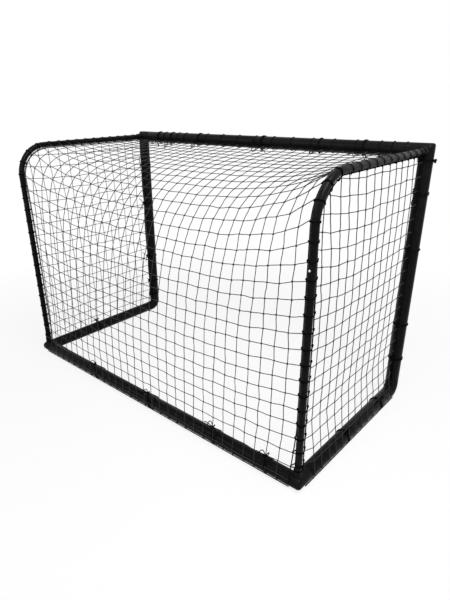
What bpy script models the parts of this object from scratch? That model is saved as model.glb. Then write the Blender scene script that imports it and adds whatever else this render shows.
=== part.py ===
"""A small free-standing football goal: a push-together tube frame with a laced, knotted net.

Lengths are in metres and +Z is up. The mouth faces -Y, and the origin lies on the ground at the
middle of the goal. Left (-X) and right (+X) are as seen from in front of the mouth.
"""
import math

import bmesh
import bpy
from mathutils import Vector

# Frame, measured between the axes of its thick tubes
FRAME_WIDTH = 1.752
FRAME_HEIGHT = 1.140
FRAME_DEPTH = 0.852

# The frame sits this far forward, as the net stands out behind it further than the ties do in front
FRAME_SHIFT = 0.00145

# Thick tube of the mouth frame and the base
BAR_RADIUS = 0.030
BAR_WALL = 0.0015
BAR_SIDES = 16

# Thin tube of the roof and the rear uprights
STAY_RADIUS = 0.014
STAY_WALL = 0.0015
STAY_SIDES = 12
STAY_BEND_RADIUS = 0.150
STAY_BEND_STEPS = 5
PLUG_LENGTH = 0.080
BORE_STEP_LENGTH = 0.006

# Moulded corner fittings
CORNER_ARM = 0.062
SPIGOT_LENGTH = 0.070
SPIGOT_WALL = 0.0035
COLLAR_RADIUS = 0.0175
COLLAR_LENGTH = 0.024
SOCKET_DEPTH = 0.045
ELBOW_BEND_RADIUS = 0.038
ELBOW_ARM = 0.068
ELBOW_BEND_STEPS = 3

# Inner tube that joins the two halves of a long bar
SLEEVE_LENGTH = 0.160
SLEEVE_WALL = 0.002

# Snap button, at its distance below the crossbar's axis, and its leaf spring
BUTTON_DROP = 0.288
BUTTON_TO_JOINT = 0.035
BUTTON_RADIUS = 0.004
BUTTON_RISE = 0.0045
BUTTON_CROWN = 0.0012
BUTTON_SIDES = 12
FLANGE_RADIUS = 0.0052
FLANGE_THICKNESS = 0.001
SPRING_WIDTH = 0.008
SPRING_THICKNESS = 0.0008
SPRING_LENGTH = 0.045
SPRING_BEND_RADIUS = 0.003

# Net
TWINE = 0.0026
CORD_RADIUS = 0.0026
MESH_ACROSS = 0.0560
MESH_ALONG = 0.0611
TWINE_SIDES = 3
CORD_SIDES = 4
HEAD_ANGLE = math.radians(-25.0)
FOOT_ANGLE = math.radians(-35.0)

# The hammock that the roof and back net hangs in at mid-span
SAG_HEAD_HANDLE = 0.658
SAG_HEAD_ANGLE = math.radians(-8.25)
SAG_FOOT_HANDLE = 1.090
SAG_FOOT_INSET = -0.030
SAG_POWER = 3
SAG_STEPS = 40
EDGE_LEAN_HEIGHT = 0.260

# Height below which the side nets spread outwards to pass over the side bars
SIDE_SPREAD_HEIGHT = 0.257

# The roof and back net is parted in three panels, drawn with this many straight runs each
# The first ends this far from the crossbar, and the second passes the joint of the rear upright
ROOF_PANEL_LENGTH = 0.550
PANEL_RUNS = (2, 3, 3)
PANEL_GAP = 0.0030
COLLAR_TAPER_LENGTH = 0.170

# Cord ties, at their distance from the nearer post's axis, down from the crossbar's and up from the base's
CROSSBAR_TIES = (("left", (0.267, 0.496, 0.828)), ("right", (0.513, 0.295, 0.151)))
UPPER_POST_TIES = (0.171, 0.434)
LOWER_POST_TIES = (0.365, 0.209)
TIE_CORD = 0.0025
TIE_SIDES = 3
TIE_STEPS = 6
KNOT_RADIUS = 0.0042

# Clearances
FIT_GAP = 0.0003
CORD_GAP = 0.0004

HALF_WIDTH = FRAME_WIDTH / 2
FRONT = -FRAME_DEPTH / 2 - FRAME_SHIFT
REAR = FRAME_DEPTH / 2 - FRAME_SHIFT
BASE_Z = BAR_RADIUS
TOP_Z = BAR_RADIUS + FRAME_HEIGHT
BUTTON_Z = TOP_Z - BUTTON_DROP
JOINT_Z = BUTTON_Z + BUTTON_TO_JOINT
X, Y, Z = Vector((1, 0, 0)), Vector((0, 1, 0)), Vector((0, 0, 1))


def clear_scene():
    for old in list(bpy.data.objects):
        bpy.data.objects.remove(old, do_unlink=True)


def make_material(name, colour, roughness, metallic):
    material = bpy.data.materials.new(name)
    material.use_nodes = True
    shader = material.node_tree.nodes["Principled BSDF"]
    shader.inputs["Base Color"].default_value = (*colour, 1.0)
    shader.inputs["Roughness"].default_value = roughness
    shader.inputs["Metallic"].default_value = metallic
    return material


def add_object(name, mesh_builder, material, smooth_angle=35.0):
    """Turns a bmesh into a named object with one material and smooth round faces."""
    bmesh.ops.recalc_face_normals(mesh_builder, faces=mesh_builder.faces)
    mesh = bpy.data.meshes.new(name)
    mesh_builder.to_mesh(mesh)
    mesh_builder.free()
    mesh.shade_smooth()
    mesh.set_sharp_from_angle(angle=math.radians(smooth_angle))
    mesh.materials.append(material)
    new = bpy.data.objects.new(name, mesh)
    bpy.context.collection.objects.link(new)
    return new


def boolean(target, tool, operation):
    """Joins a tool to the target or cuts it out, and deletes the tool."""
    modifier = target.modifiers.new(operation.lower(), "BOOLEAN")
    modifier.operation = operation
    modifier.solver = "EXACT"
    modifier.object = tool
    bpy.context.view_layer.update()
    mesh = bpy.data.meshes.new_from_object(target.evaluated_get(bpy.context.evaluated_depsgraph_get()))
    target.modifiers.clear()
    target.data = mesh
    bpy.data.objects.remove(tool, do_unlink=True)
    return target


def place_ring(centre, incoming, outgoing, side, radius, sides):
    """A ring of points round a path's corner, on the plane that mitres its two runs."""
    mitre = (incoming + outgoing).normalized()
    other = incoming.cross(side)
    points = []
    for step in range(sides):
        angle = 2 * math.pi * (step + 0.5) / sides
        offset = (side * math.cos(angle) + other * math.sin(angle)) * radius
        slide = -offset.dot(mitre) / incoming.dot(mitre)
        points.append(centre + offset + incoming * slide)
    return points


def sweep_rings(path, radii, side, sides):
    """Rings along a path; each flat of the many-sided tube lies at its true radius."""
    path = [Vector(point) for point in path]
    rings = []
    for index, centre in enumerate(path):
        before = path[index] - path[index - 1] if index else path[1] - path[0]
        after = path[index + 1] - path[index] if index < len(path) - 1 else before
        if before.length < 1e-9:
            before = after
        if after.length < 1e-9:
            after = before
        incoming = before.normalized()
        across = (side - incoming * side.dot(incoming)).normalized()
        radius = radii[index] / math.cos(math.pi / sides)
        rings.append(place_ring(centre, incoming, after.normalized(), across, radius, sides))
    return rings


def skin(mesh_builder, rings, closed):
    """Faces between rings, and either end caps or a join from the last ring to the first."""
    loops = [[mesh_builder.verts.new(point) for point in ring] for ring in rings]
    pairs = list(zip(loops, loops[1:]))
    if closed:
        pairs.append((loops[-1], loops[0]))
    for lower, upper in pairs:
        for index in range(len(lower)):
            following = (index + 1) % len(lower)
            mesh_builder.faces.new((lower[index], lower[following], upper[following], upper[index]))
    if not closed:
        mesh_builder.faces.new(loops[0])
        mesh_builder.faces.new(loops[-1])


def solid_sweep(mesh_builder, path, radius, side, sides):
    skin(mesh_builder, sweep_rings(path, [radius] * len(path), side, sides), closed=False)


def hollow_sweep(outer, inner, side, sides):
    """A tube wall; outer and inner are lists of (point, radius) from one end to the other."""
    mesh_builder = bmesh.new()
    outside = sweep_rings([point for point, _ in outer], [radius for _, radius in outer], side, sides)
    inside = sweep_rings([point for point, _ in inner], [radius for _, radius in inner], side, sides)
    skin(mesh_builder, outside + inside[::-1], closed=True)
    return mesh_builder


def arc(centre, start, end, radius, steps):
    """Points of a quarter turn round centre, from the direction start to the direction end."""
    return [centre + (start * math.cos(step * math.pi / 2 / steps)
                      + end * math.sin(step * math.pi / 2 / steps)) * radius for step in range(steps + 1)]


def straight_tube(name, start, end, radius, wall, sides, side, material):
    ends = [Vector(start), Vector(end)]
    outer = [(point, radius) for point in ends]
    inner = [(point, radius - wall) for point in ends]
    return add_object(name, hollow_sweep(outer, inner, side, sides), material)


# Corner fittings

def fitting_shell(centre, arm_a, arm_b, arm_length, bend_radius, bend_steps, side):
    """A bent fitting with a spigot on each arm. A bend radius of 0 gives a plain mitre."""
    spigot_radius = BAR_RADIUS - BAR_WALL - FIT_GAP
    bore_radius = spigot_radius - SPIGOT_WALL
    tip_a = centre + arm_a * (arm_length + SPIGOT_LENGTH)
    rim_a = centre + arm_a * arm_length
    rim_b = centre + arm_b * arm_length
    tip_b = centre + arm_b * (arm_length + SPIGOT_LENGTH)
    if bend_radius:
        hub = centre + (arm_a + arm_b) * bend_radius
        bend = arc(hub, -arm_b, -arm_a, bend_radius, bend_steps)
    else:
        bend = [centre]
    outer = [(tip_a, spigot_radius), (rim_a, spigot_radius), (rim_a, BAR_RADIUS)]
    outer += [(point, BAR_RADIUS) for point in bend]
    outer += [(rim_b, BAR_RADIUS), (rim_b, spigot_radius), (tip_b, spigot_radius)]
    inner = [(point, bore_radius) for point in [tip_a] + bend + [tip_b]]
    return hollow_sweep(outer, inner, side, BAR_SIDES)


def three_way_corner(name, centre, arm_a, arm_b, collar, material):
    """Two mitred arms of thick tube and a collar with a blind socket for the thin tube."""
    body = add_object(name, fitting_shell(centre, arm_a, arm_b, CORNER_ARM, 0.0, 1, collar), material)
    mouth = BAR_RADIUS + COLLAR_LENGTH
    stub = bmesh.new()
    stub_path = [centre - collar * STAY_RADIUS, centre + collar * mouth]
    solid_sweep(stub, stub_path, COLLAR_RADIUS, arm_a, STAY_SIDES)
    boolean(body, add_object("collar_tool", stub, material), "UNION")
    bore = bmesh.new()
    bore_path = [centre + collar * (mouth - SOCKET_DEPTH), centre + collar * (mouth + SOCKET_DEPTH)]
    solid_sweep(bore, bore_path, STAY_RADIUS + FIT_GAP, arm_a, STAY_SIDES)
    return boolean(body, add_object("bore_tool", bore, material), "DIFFERENCE")


def make_fittings(material):
    for label, sign in (("left", -1), ("right", 1)):
        inward = X * -sign
        top = Vector((sign * HALF_WIDTH, FRONT, TOP_Z))
        rear = Vector((sign * HALF_WIDTH, REAR, BASE_Z))
        foot = Vector((sign * HALF_WIDTH, FRONT, BASE_Z))
        three_way_corner("top_corner_" + label, top, inward, -Z, Y, material)
        three_way_corner("rear_corner_" + label, rear, inward, -Y, Z, material)
        elbow = fitting_shell(foot, Z, Y, ELBOW_ARM, ELBOW_BEND_RADIUS, ELBOW_BEND_STEPS, X)
        add_object("foot_elbow_" + label, elbow, material)


# Thick tubes

def make_bars(material, sleeve_material):
    corner_end = CORNER_ARM + FIT_GAP
    elbow_end = ELBOW_ARM + FIT_GAP
    for label, sign in (("left", -1), ("right", 1)):
        x = sign * HALF_WIDTH
        bar_end = x - sign * corner_end
        middle = sign * FIT_GAP / 2
        for name, y, z in (("crossbar_", FRONT, TOP_Z), ("rear_bar_", REAR, BASE_Z)):
            straight_tube(name + label, (bar_end, y, z), (middle, y, z), BAR_RADIUS, BAR_WALL, BAR_SIDES, Z,
                          material)
        straight_tube("post_" + label, (x, FRONT, TOP_Z - corner_end), (x, FRONT, BASE_Z + elbow_end),
                      BAR_RADIUS, BAR_WALL, BAR_SIDES, Y, material)
        straight_tube("side_bar_" + label, (x, FRONT + elbow_end, BASE_Z), (x, REAR - corner_end, BASE_Z),
                      BAR_RADIUS, BAR_WALL, BAR_SIDES, Z, material)
    sleeve_radius = BAR_RADIUS - BAR_WALL - FIT_GAP
    for name, y, z in (("crossbar_sleeve", FRONT, TOP_Z), ("rear_bar_sleeve", REAR, BASE_Z)):
        straight_tube(name, (-SLEEVE_LENGTH / 2, y, z), (SLEEVE_LENGTH / 2, y, z), sleeve_radius, SLEEVE_WALL,
                      BAR_SIDES, Z, sleeve_material)


# Thin tubes with their snap buttons

def socket_floor():
    """Distance from a fitting's axis to where the thin tube's end stops."""
    return BAR_RADIUS + COLLAR_LENGTH - SOCKET_DEPTH + FIT_GAP


def button_hole(target, x, material):
    hole = bmesh.new()
    start = Vector((x, REAR + STAY_RADIUS / 2, BUTTON_Z))
    solid_sweep(hole, [start, start + Y * STAY_RADIUS], BUTTON_RADIUS + FIT_GAP, Z, BUTTON_SIDES)
    boolean(target, add_object("hole_tool", hole, material), "DIFFERENCE")


def make_roof_stay(label, x, material):
    """The bent tube: back from the top corner, down round the bend, and on as a reduced plug."""
    start = Vector((x, FRONT + socket_floor(), TOP_Z))
    hub = Vector((x, REAR - STAY_BEND_RADIUS, TOP_Z - STAY_BEND_RADIUS))
    bend = arc(hub, Z, Y, STAY_BEND_RADIUS, STAY_BEND_STEPS)
    shoulder = Vector((x, REAR, JOINT_Z + FIT_GAP))
    tip = shoulder - Z * PLUG_LENGTH
    plug_radius = STAY_RADIUS - STAY_WALL - FIT_GAP
    bore_radius = STAY_RADIUS - STAY_WALL
    outer = [(start, STAY_RADIUS)] + [(point, STAY_RADIUS) for point in bend]
    outer += [(shoulder, STAY_RADIUS), (shoulder, plug_radius), (tip, plug_radius)]
    inner = [(start, bore_radius)] + [(point, bore_radius) for point in bend]
    inner += [(shoulder + Z * BORE_STEP_LENGTH, bore_radius), (shoulder, plug_radius - STAY_WALL),
              (tip, plug_radius - STAY_WALL)]
    stay = add_object("roof_tube_" + label, hollow_sweep(outer, inner, X, STAY_SIDES), material)
    button_hole(stay, x, material)


def make_upright(label, x, material):
    upright = straight_tube("rear_upright_" + label, (x, REAR, JOINT_Z), (x, REAR, BASE_Z + socket_floor()),
                            STAY_RADIUS, STAY_WALL, STAY_SIDES, X, material)
    button_hole(upright, x, material)


def flange_face():
    """Distance from the thin tube's axis to the outer face of the button's flange."""
    plug_bore = STAY_RADIUS - 2 * STAY_WALL - FIT_GAP
    return math.sqrt(plug_bore ** 2 - FLANGE_RADIUS ** 2) - FIT_GAP


def make_button(label, x, material):
    face = flange_face()
    tip = STAY_RADIUS + BUTTON_RISE
    profile = ((face - FLANGE_THICKNESS, FLANGE_RADIUS), (face, FLANGE_RADIUS), (face, BUTTON_RADIUS),
               (tip - BUTTON_CROWN, BUTTON_RADIUS), (tip, BUTTON_RADIUS - BUTTON_CROWN))
    path = [Vector((x, REAR + reach, BUTTON_Z)) for reach, _ in profile]
    button = bmesh.new()
    skin(button, sweep_rings(path, [radius for _, radius in profile], Z, BUTTON_SIDES), closed=False)
    add_object("snap_button_" + label, button, material)


def make_spring(label, x, material):
    """A V of spring strip: one leg behind the button, a bend below, one leg on the far wall."""
    plug_bore = STAY_RADIUS - 2 * STAY_WALL - FIT_GAP
    leg = flange_face() - FLANGE_THICKNESS - FIT_GAP - SPRING_THICKNESS / 2
    back = -(math.sqrt(plug_bore ** 2 - (SPRING_WIDTH / 2) ** 2) - FIT_GAP - SPRING_THICKNESS / 2)
    bend_z = BUTTON_Z - SPRING_LENGTH + SPRING_BEND_RADIUS
    route = [(leg, BUTTON_Z + FLANGE_RADIUS), (leg, BUTTON_Z - FLANGE_RADIUS)]
    for turn in range(5):
        angle = turn * math.pi / 4
        route.append((math.cos(angle) * SPRING_BEND_RADIUS, bend_z - math.sin(angle) * SPRING_BEND_RADIUS))
    route += [(back, BUTTON_Z - FLANGE_RADIUS), (back, BUTTON_Z + FLANGE_RADIUS)]
    half = SPRING_THICKNESS / 2
    path = [Vector((x, REAR + y, z)) for y, z in route]
    rings = []
    for index, centre in enumerate(path):
        before = (path[index] - path[index - 1]).normalized() if index else (path[1] - path[0]).normalized()
        after = (path[index + 1] - path[index]).normalized() if index < len(path) - 1 else before
        normal = (before + after).normalized().cross(X)
        thickness = normal * half / normal.dot(before.cross(X))
        width = X * SPRING_WIDTH / 2
        rings.append([centre - thickness - width, centre + thickness - width, centre + thickness + width,
                      centre - thickness + width])
    spring = bmesh.new()
    skin(spring, rings, closed=False)
    add_object("button_spring_" + label, spring, material)


def make_stays(tube_material, button_material, spring_material):
    for label, sign in (("left", -1), ("right", 1)):
        x = sign * HALF_WIDTH
        make_roof_stay(label, x, tube_material)
        make_upright(label, x, tube_material)
        make_button(label, x, button_material)
        make_spring(label, x, spring_material)


# Net

class Route:
    """A line through points that can be read by its share of length."""

    def __init__(self, points):
        self.points = [Vector(point) for point in points]
        self.marks = [0.0]
        for before, after in zip(self.points, self.points[1:]):
            self.marks.append(self.marks[-1] + (after - before).length)

    def at(self, share):
        target = share * self.marks[-1]
        index = 1
        while index < len(self.marks) - 1 and self.marks[index] < target:
            index += 1
        start, end = self.marks[index - 1], self.marks[index]
        return self.points[index - 1].lerp(self.points[index], (target - start) / (end - start))


def on_tube(centre_y, centre_z, angle, standoff):
    """A point beside a tube that runs along X, at an angle above the rearward direction."""
    return Vector((0, centre_y + math.cos(angle) * standoff, centre_z + math.sin(angle) * standoff))


def cubic(start, start_handle, end_handle, end, steps):
    points = []
    for step in range(steps + 1):
        t = step / steps
        points.append(start * (1 - t) ** 3 + start_handle * (3 * t * (1 - t) ** 2)
                      + end_handle * (3 * t * t * (1 - t)) + end * t ** 3)
    return points


def flat_distance(radius, sides):
    """Middle-to-flat distance of a many-sided cord with the same area as a round one."""
    return radius * math.sqrt(math.pi / (sides * math.tan(math.pi / sides)))


def corner_distance(radius, sides):
    """Middle-to-corner distance of a tube drawn with flat sides round its true radius."""
    return radius / math.cos(math.pi / sides)


CORD_FLAT = flat_distance(CORD_RADIUS, CORD_SIDES)
CORD_REACH = corner_distance(CORD_FLAT, CORD_SIDES)
CORD_STANDOFF = corner_distance(BAR_RADIUS, BAR_SIDES) + CORD_GAP + CORD_REACH
POST_STANDOFF = BAR_RADIUS + CORD_GAP + CORD_FLAT
STAY_STANDOFF = STAY_RADIUS + CORD_GAP + CORD_FLAT
COLLAR_STANDOFF = COLLAR_RADIUS + CORD_GAP + CORD_FLAT
TWINE_FLAT = flat_distance(TWINE / 2, TWINE_SIDES)
LAYER = TWINE_FLAT + FIT_GAP
EDGE_X = HALF_WIDTH - STAY_STANDOFF


def hammock_edge():
    """The line of the roof and back net beside the thin tube, from crossbar to rear bar."""
    head = on_tube(FRONT, TOP_Z, HEAD_ANGLE, CORD_STANDOFF)
    hub = Vector((0, REAR - STAY_BEND_RADIUS, TOP_Z - STAY_BEND_RADIUS))
    foot = Vector((0, REAR + CORD_STANDOFF + CORD_GAP, BASE_Z))
    lean = Vector((0, REAR, EDGE_LEAN_HEIGHT))
    return Route([head] + arc(hub, Z, Y, STAY_BEND_RADIUS, STAY_BEND_STEPS) + [lean, foot])


def hammock_middle():
    """The same line at mid-span, where the net hangs slack and cuts the corner."""
    head = on_tube(FRONT, TOP_Z, HEAD_ANGLE, CORD_STANDOFF)
    foot = Vector((0, REAR + CORD_STANDOFF + CORD_GAP, BASE_Z))
    head_handle = head + Vector((0, SAG_HEAD_HANDLE, SAG_HEAD_HANDLE * math.tan(SAG_HEAD_ANGLE)))
    foot_handle = Vector((0, REAR - SAG_FOOT_INSET, BASE_Z + SAG_FOOT_HANDLE))
    return Route(cubic(head, head_handle, foot_handle, foot, SAG_STEPS))


def edge_x(distance):
    """Half the sheet's width at a distance from its nearer end, where it stands clear of the collars."""
    nearness = max(0.0, 1 - distance / COLLAR_TAPER_LENGTH)
    return EDGE_X - nearness * (COLLAR_STANDOFF - STAY_STANDOFF + CORD_GAP)


def hammock_point(edge, middle, across, along):
    """A point of the sheet: across runs 0 to 1 from left to right, along 0 to 1 from head to foot."""
    slack = 1 - abs(1 - 2 * across) ** SAG_POWER
    point = edge.at(along).lerp(middle.at(along), slack)
    point.x = (2 * across - 1) * edge_x(min(along, 1 - along) * edge.marks[-1])
    return point


class Sheet:
    """The hammock read at a few stations, with the twine running straight between them."""

    PROBE_STEP = 0.002

    def __init__(self, point_at, across_stops, along_stops):
        self.across_stops, self.along_stops = across_stops, along_stops
        self.grid = []
        for across in across_stops:
            self.grid.append([(point_at(across, along), self.normal(point_at, across, along))
                              for along in along_stops])

    @classmethod
    def normal(cls, point_at, across, along):
        step = cls.PROBE_STEP
        side = point_at(min(across + step, 1), along) - point_at(max(across - step, 0), along)
        down = point_at(across, min(along + step, 1)) - point_at(across, max(along - step, 0))
        return side.cross(down).normalized()

    @staticmethod
    def bracket(stops, value):
        index = 1
        while index < len(stops) - 1 and stops[index] < value:
            index += 1
        return index, (value - stops[index - 1]) / (stops[index] - stops[index - 1])

    def at(self, across, along, offset):
        column, across_share = self.bracket(self.across_stops, across)
        row, along_share = self.bracket(self.along_stops, along)

        def corner(i, j):
            point, normal = self.grid[i][j]
            return point + normal * offset

        near = corner(column - 1, row - 1).lerp(corner(column - 1, row), along_share)
        far = corner(column, row - 1).lerp(corner(column, row), along_share)
        return near.lerp(far, across_share)

    def facing(self, along):
        """The outward direction at mid-span."""
        return (self.at(0.5, along, 1.0) - self.at(0.5, along, 0.0)).normalized()

    def row(self, along, offset):
        return [self.at(across, along, offset) for across in self.across_stops]

    def column(self, across, offset):
        return [self.at(across, along, offset) for along in self.along_stops]


def panel_joined(name, cords, strands, material):
    """Joins a panel's border cords and tie row into one body, then its strands to them."""
    body = add_object(name, cords[0], material)
    for extra in cords[1:]:
        boolean(body, add_object("cord_tool", extra, material), "UNION")
    return boolean(body, add_object("strand_tool", strands, material), "UNION")


def cord_builder(*paths, radius=CORD_RADIUS, side=X, sides=CORD_SIDES):
    cords = bmesh.new()
    for path in paths:
        solid_sweep(cords, path, flat_distance(radius, sides), side, sides)
    return cords


def add_strand(mesh_builder, line, facing):
    """Twine with one flat side facing the layer that it crosses."""
    solid_sweep(mesh_builder, line, TWINE_FLAT, facing, TWINE_SIDES)


def across_stations(count):
    """Stations across the sheet, close together beside the thin tubes where it bends most."""
    half = [step / count for step in (0, 2, 7)]
    return half + [0.5] + [1 - stop for stop in half[::-1]]


def panel_ends():
    """Start and end of each panel as shares of the sheet, halfway between two rows of twine."""
    edge = hammock_edge()
    rows = round(edge.marks[-1] / MESH_ALONG)
    above_joint = edge.marks[-1] - (edge.points[-1] - edge.points[-2]).length - (JOINT_Z - EDGE_LEAN_HEIGHT)
    shares = [(round(length / edge.marks[-1] * rows) + 0.5) / rows
              for length in (ROOF_PANEL_LENGTH, above_joint)]
    return (("net_roof", 0.0, shares[0]), ("net_shoulder", *shares), ("net_back", shares[1], 1.0))


def make_hammock_panel(name, start, end, segments, material):
    """One panel of the roof and back sheet, with its share of the border cord."""
    edge, middle = hammock_edge(), hammock_middle()
    across_count = round(2 * EDGE_X / MESH_ACROSS)
    along_count = round(edge.marks[-1] / MESH_ALONG)
    trim = PANEL_GAP / 2 / edge.marks[-1]
    first = start + trim if start > 0.0 else 0.0
    last = end - trim if end < 1.0 else 1.0
    stops = [first + (last - first) * step / segments for step in range(segments + 1)]
    sheet = Sheet(lambda across, along: hammock_point(edge, middle, across, along),
                  across_stations(across_count), stops)
    borders = [sheet.column(across, 0.0) for across in (0.0, 1.0)]
    half_way = on_tube(REAR, BASE_Z, FOOT_ANGLE / 2, CORD_STANDOFF + CORD_GAP)
    foot_cord = on_tube(REAR, BASE_Z, FOOT_ANGLE, CORD_STANDOFF)
    tie_row = None
    if start == 0.0:
        cords = [cord_builder(borders[0][::-1] + borders[1], side=Z)]
    elif end == 1.0:
        wraps = [[half_way + X * x, foot_cord + X * x] for x in (-edge_x(0.0), edge_x(0.0))]
        cords = [cord_builder(borders[0] + wraps[0] + wraps[1][::-1] + borders[1][::-1], side=Y)]
    else:
        tie_row = round((start + end) / 2 * along_count)
        tie = sheet.row(tie_row / along_count, 0.0)
        cords = [cord_builder(*borders), cord_builder(tie, radius=TWINE / 2, side=Z, sides=4)]

    strands = bmesh.new()
    for row in range(1, along_count):
        line_clears_bar = sheet.at(0.5, row / along_count, 0.0).z > 2 * BAR_RADIUS
        if first < row / along_count < last and row != tie_row and line_clears_bar:
            add_strand(strands, sheet.row(row / along_count, -LAYER), sheet.facing(row / along_count))
    inward = -sheet.facing((first + last) / 2)
    for column in range(1, across_count):
        line = sheet.column(column / across_count, LAYER)
        if end == 1.0:
            line += [half_way + X * line[-1].x, foot_cord + X * line[-1].x]
        add_strand(strands, line, inward)
    panel_joined(name, cords, strands, material)


def make_side_net(label, sign, material):
    """A flat side panel with a border cord round its three tubes and one along the base bar."""
    x = sign * HALF_WIDTH
    front = FRONT + POST_STANDOFF
    rear = REAR - COLLAR_STANDOFF
    top = TOP_Z - COLLAR_STANDOFF
    low = BASE_Z + CORD_STANDOFF
    inner_bend = STAY_BEND_RADIUS - STAY_STANDOFF
    hub = Vector((x, rear - inner_bend, top - inner_bend))
    bend = arc(hub, Z, Y, inner_bend, STAY_BEND_STEPS)
    above_elbow = BASE_Z + ELBOW_BEND_RADIUS + CORD_REACH
    border = [Vector((x, front, above_elbow)), Vector((x, front, top))] + bend + [Vector((x, rear, low))]
    foot_out = math.cos(FOOT_ANGLE) * CORD_STANDOFF
    foot_z = BASE_Z + math.sin(FOOT_ANGLE) * CORD_STANDOFF
    column_count = round((rear - front) / MESH_ACROSS)
    row_count = round((top - low) / MESH_ALONG)
    columns = [front + (rear - front) * column / column_count for column in range(1, column_count)]
    foot_x = x + sign * foot_out
    foot = [Vector((foot_x, columns[0], foot_z)), Vector((foot_x, columns[-1], foot_z))]
    cords = [cord_builder(border, side=X), cord_builder(foot, side=X)]

    def height_under_tube(y):
        reach = max(0.0, y - hub.y)
        return hub.z + math.sqrt(inner_bend ** 2 - reach ** 2)

    strands = bmesh.new()
    beside_bar = x + sign * (CORD_STANDOFF + CORD_GAP)
    for y in columns:
        line = [Vector((x + sign * LAYER, y, height_under_tube(y))),
                Vector((x + sign * LAYER, y, SIDE_SPREAD_HEIGHT)),
                Vector((beside_bar, y, low)), Vector((beside_bar, y, BASE_Z)), Vector((foot_x, y, foot_z))]
        add_strand(strands, line, X * -sign)
    for row in range(1, row_count):
        z = low + (top - low) * row / row_count
        end = rear
        if z > hub.z:
            end = hub.y + math.sqrt(inner_bend ** 2 - (z - hub.z) ** 2)
        out = max(0.0, (SIDE_SPREAD_HEIGHT - z) / (SIDE_SPREAD_HEIGHT - low)) * abs(beside_bar - x)
        inner_x = x + sign * (out - LAYER)
        last_y = min(columns[-1], end - MESH_ACROSS / 2)
        line = [Vector((x - sign * LAYER, front, z)), Vector((inner_x, columns[0], z)),
                Vector((inner_x, last_y, z)), Vector((x - sign * LAYER, end, z))]
        add_strand(strands, line, X * sign)
    panel_joined("net_side_" + label, cords, strands, material)


# Cord ties

def belt(centre, toward, big, small, distance, turn):
    """A closed loop of points drawn tight round two circles, in the plane of toward and turn."""
    lap = math.acos((big - small) / distance)
    points = []
    for hub, radius, first, last, steps in ((centre, big, lap, 2 * math.pi - lap, TIE_STEPS),
                                            (centre + toward * distance, small, -lap, lap, 2)):
        turn_step = (last - first) / steps
        reach = radius / math.cos(turn_step / 2)
        for step in range(steps + 1):
            angle = first + turn_step * step
            points.append(hub + (toward * math.cos(angle) + turn * math.sin(angle)) * reach)
    return points


def make_tie(name, centre, toward, turn, cord_distance, material):
    """A short cord round a thick tube and its border cord, with the knot behind the cord."""
    cord = TIE_CORD / 2
    big = corner_distance(BAR_RADIUS, BAR_SIDES) + CORD_GAP + cord
    small = CORD_REACH + CORD_GAP + cord
    loop = belt(centre, toward, big, small, cord_distance, turn)
    axis = toward.cross(turn)
    count = len(loop)
    rings = []
    for index, point in enumerate(loop):
        incoming = (point - loop[index - 1]).normalized()
        outgoing = (loop[(index + 1) % count] - point).normalized()
        rings.append(place_ring(point, incoming, outgoing, axis, cord, TIE_SIDES))
    tie = bmesh.new()
    skin(tie, rings, closed=True)
    body = add_object(name, tie, material)
    knot = bmesh.new()
    bmesh.ops.create_uvsphere(knot, u_segments=4, v_segments=3, radius=KNOT_RADIUS)
    seat = centre + toward * (cord_distance + small + KNOT_RADIUS - cord)
    bmesh.ops.translate(knot, verts=knot.verts, vec=seat)
    boolean(body, add_object("knot_tool", knot, material), "UNION")


def mid_mesh(distance, start, pitch):
    """The middle of the mesh that a distance falls in, so that a tie passes between strands."""
    return start + (math.floor((distance - start) / pitch) + 0.5) * pitch


def make_ties(material):
    head = edge_x(0.0)
    pitch = 2 * head / round(2 * EDGE_X / MESH_ACROSS)
    toward = Vector((0, math.cos(HEAD_ANGLE), math.sin(HEAD_ANGLE)))
    turn = X.cross(toward)
    number = 0
    for label, distances in CROSSBAR_TIES:
        for distance in distances:
            number += 1
            place = HALF_WIDTH - distance
            x = mid_mesh(-place if label == "left" else place, -head, pitch)
            make_tie(f"crossbar_tie_{number}", Vector((x, FRONT, TOP_Z)), toward, turn, CORD_STANDOFF,
                     material)
    low = BASE_Z + CORD_STANDOFF
    top = TOP_Z - COLLAR_STANDOFF
    rise = (top - low) / round((top - low) / MESH_ALONG)
    for label, sign in (("left", -1), ("right", 1)):
        heights = [TOP_Z - distance for distance in UPPER_POST_TIES]
        heights += [BASE_Z + distance for distance in LOWER_POST_TIES]
        for number, height in enumerate(heights, 1):
            post = Vector((sign * HALF_WIDTH, FRONT, mid_mesh(height, low, rise)))
            make_tie(f"post_tie_{label}_{number}", post, Y, X, POST_STANDOFF, material)


def main():
    clear_scene()
    coated_steel = make_material("coated_steel", (0.012, 0.012, 0.013), 0.42, 0.0)
    moulding = make_material("corner_moulding", (0.014, 0.014, 0.015), 0.48, 0.0)
    bare_steel = make_material("spring_steel", (0.45, 0.45, 0.46), 0.3, 1.0)
    plated = make_material("plated_button", (0.6, 0.6, 0.6), 0.25, 1.0)
    twine = make_material("net_twine", (0.01, 0.01, 0.01), 0.8, 0.0)
    make_fittings(moulding)
    make_bars(coated_steel, bare_steel)
    make_stays(coated_steel, plated, bare_steel)
    for (name, start, end), runs in zip(panel_ends(), PANEL_RUNS):
        make_hammock_panel(name, start, end, runs, twine)
    for label, sign in (("left", -1), ("right", 1)):
        make_side_net(label, sign, twine)
    make_ties(twine)


main()
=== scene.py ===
"""A small free-standing football goal: the finished look of its tube frame and laced, knotted net.

Run as a script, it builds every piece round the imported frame, whose sizes it reads. Lengths are in
metres and +Z is up. The mouth faces -Y, and left (-X) and right (+X) are as seen from in front of it.
"""
import math
import random

import bmesh
import bpy
from bpy.props import FloatProperty, FloatVectorProperty, IntProperty, PointerProperty
from mathutils import Matrix, Vector


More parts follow.
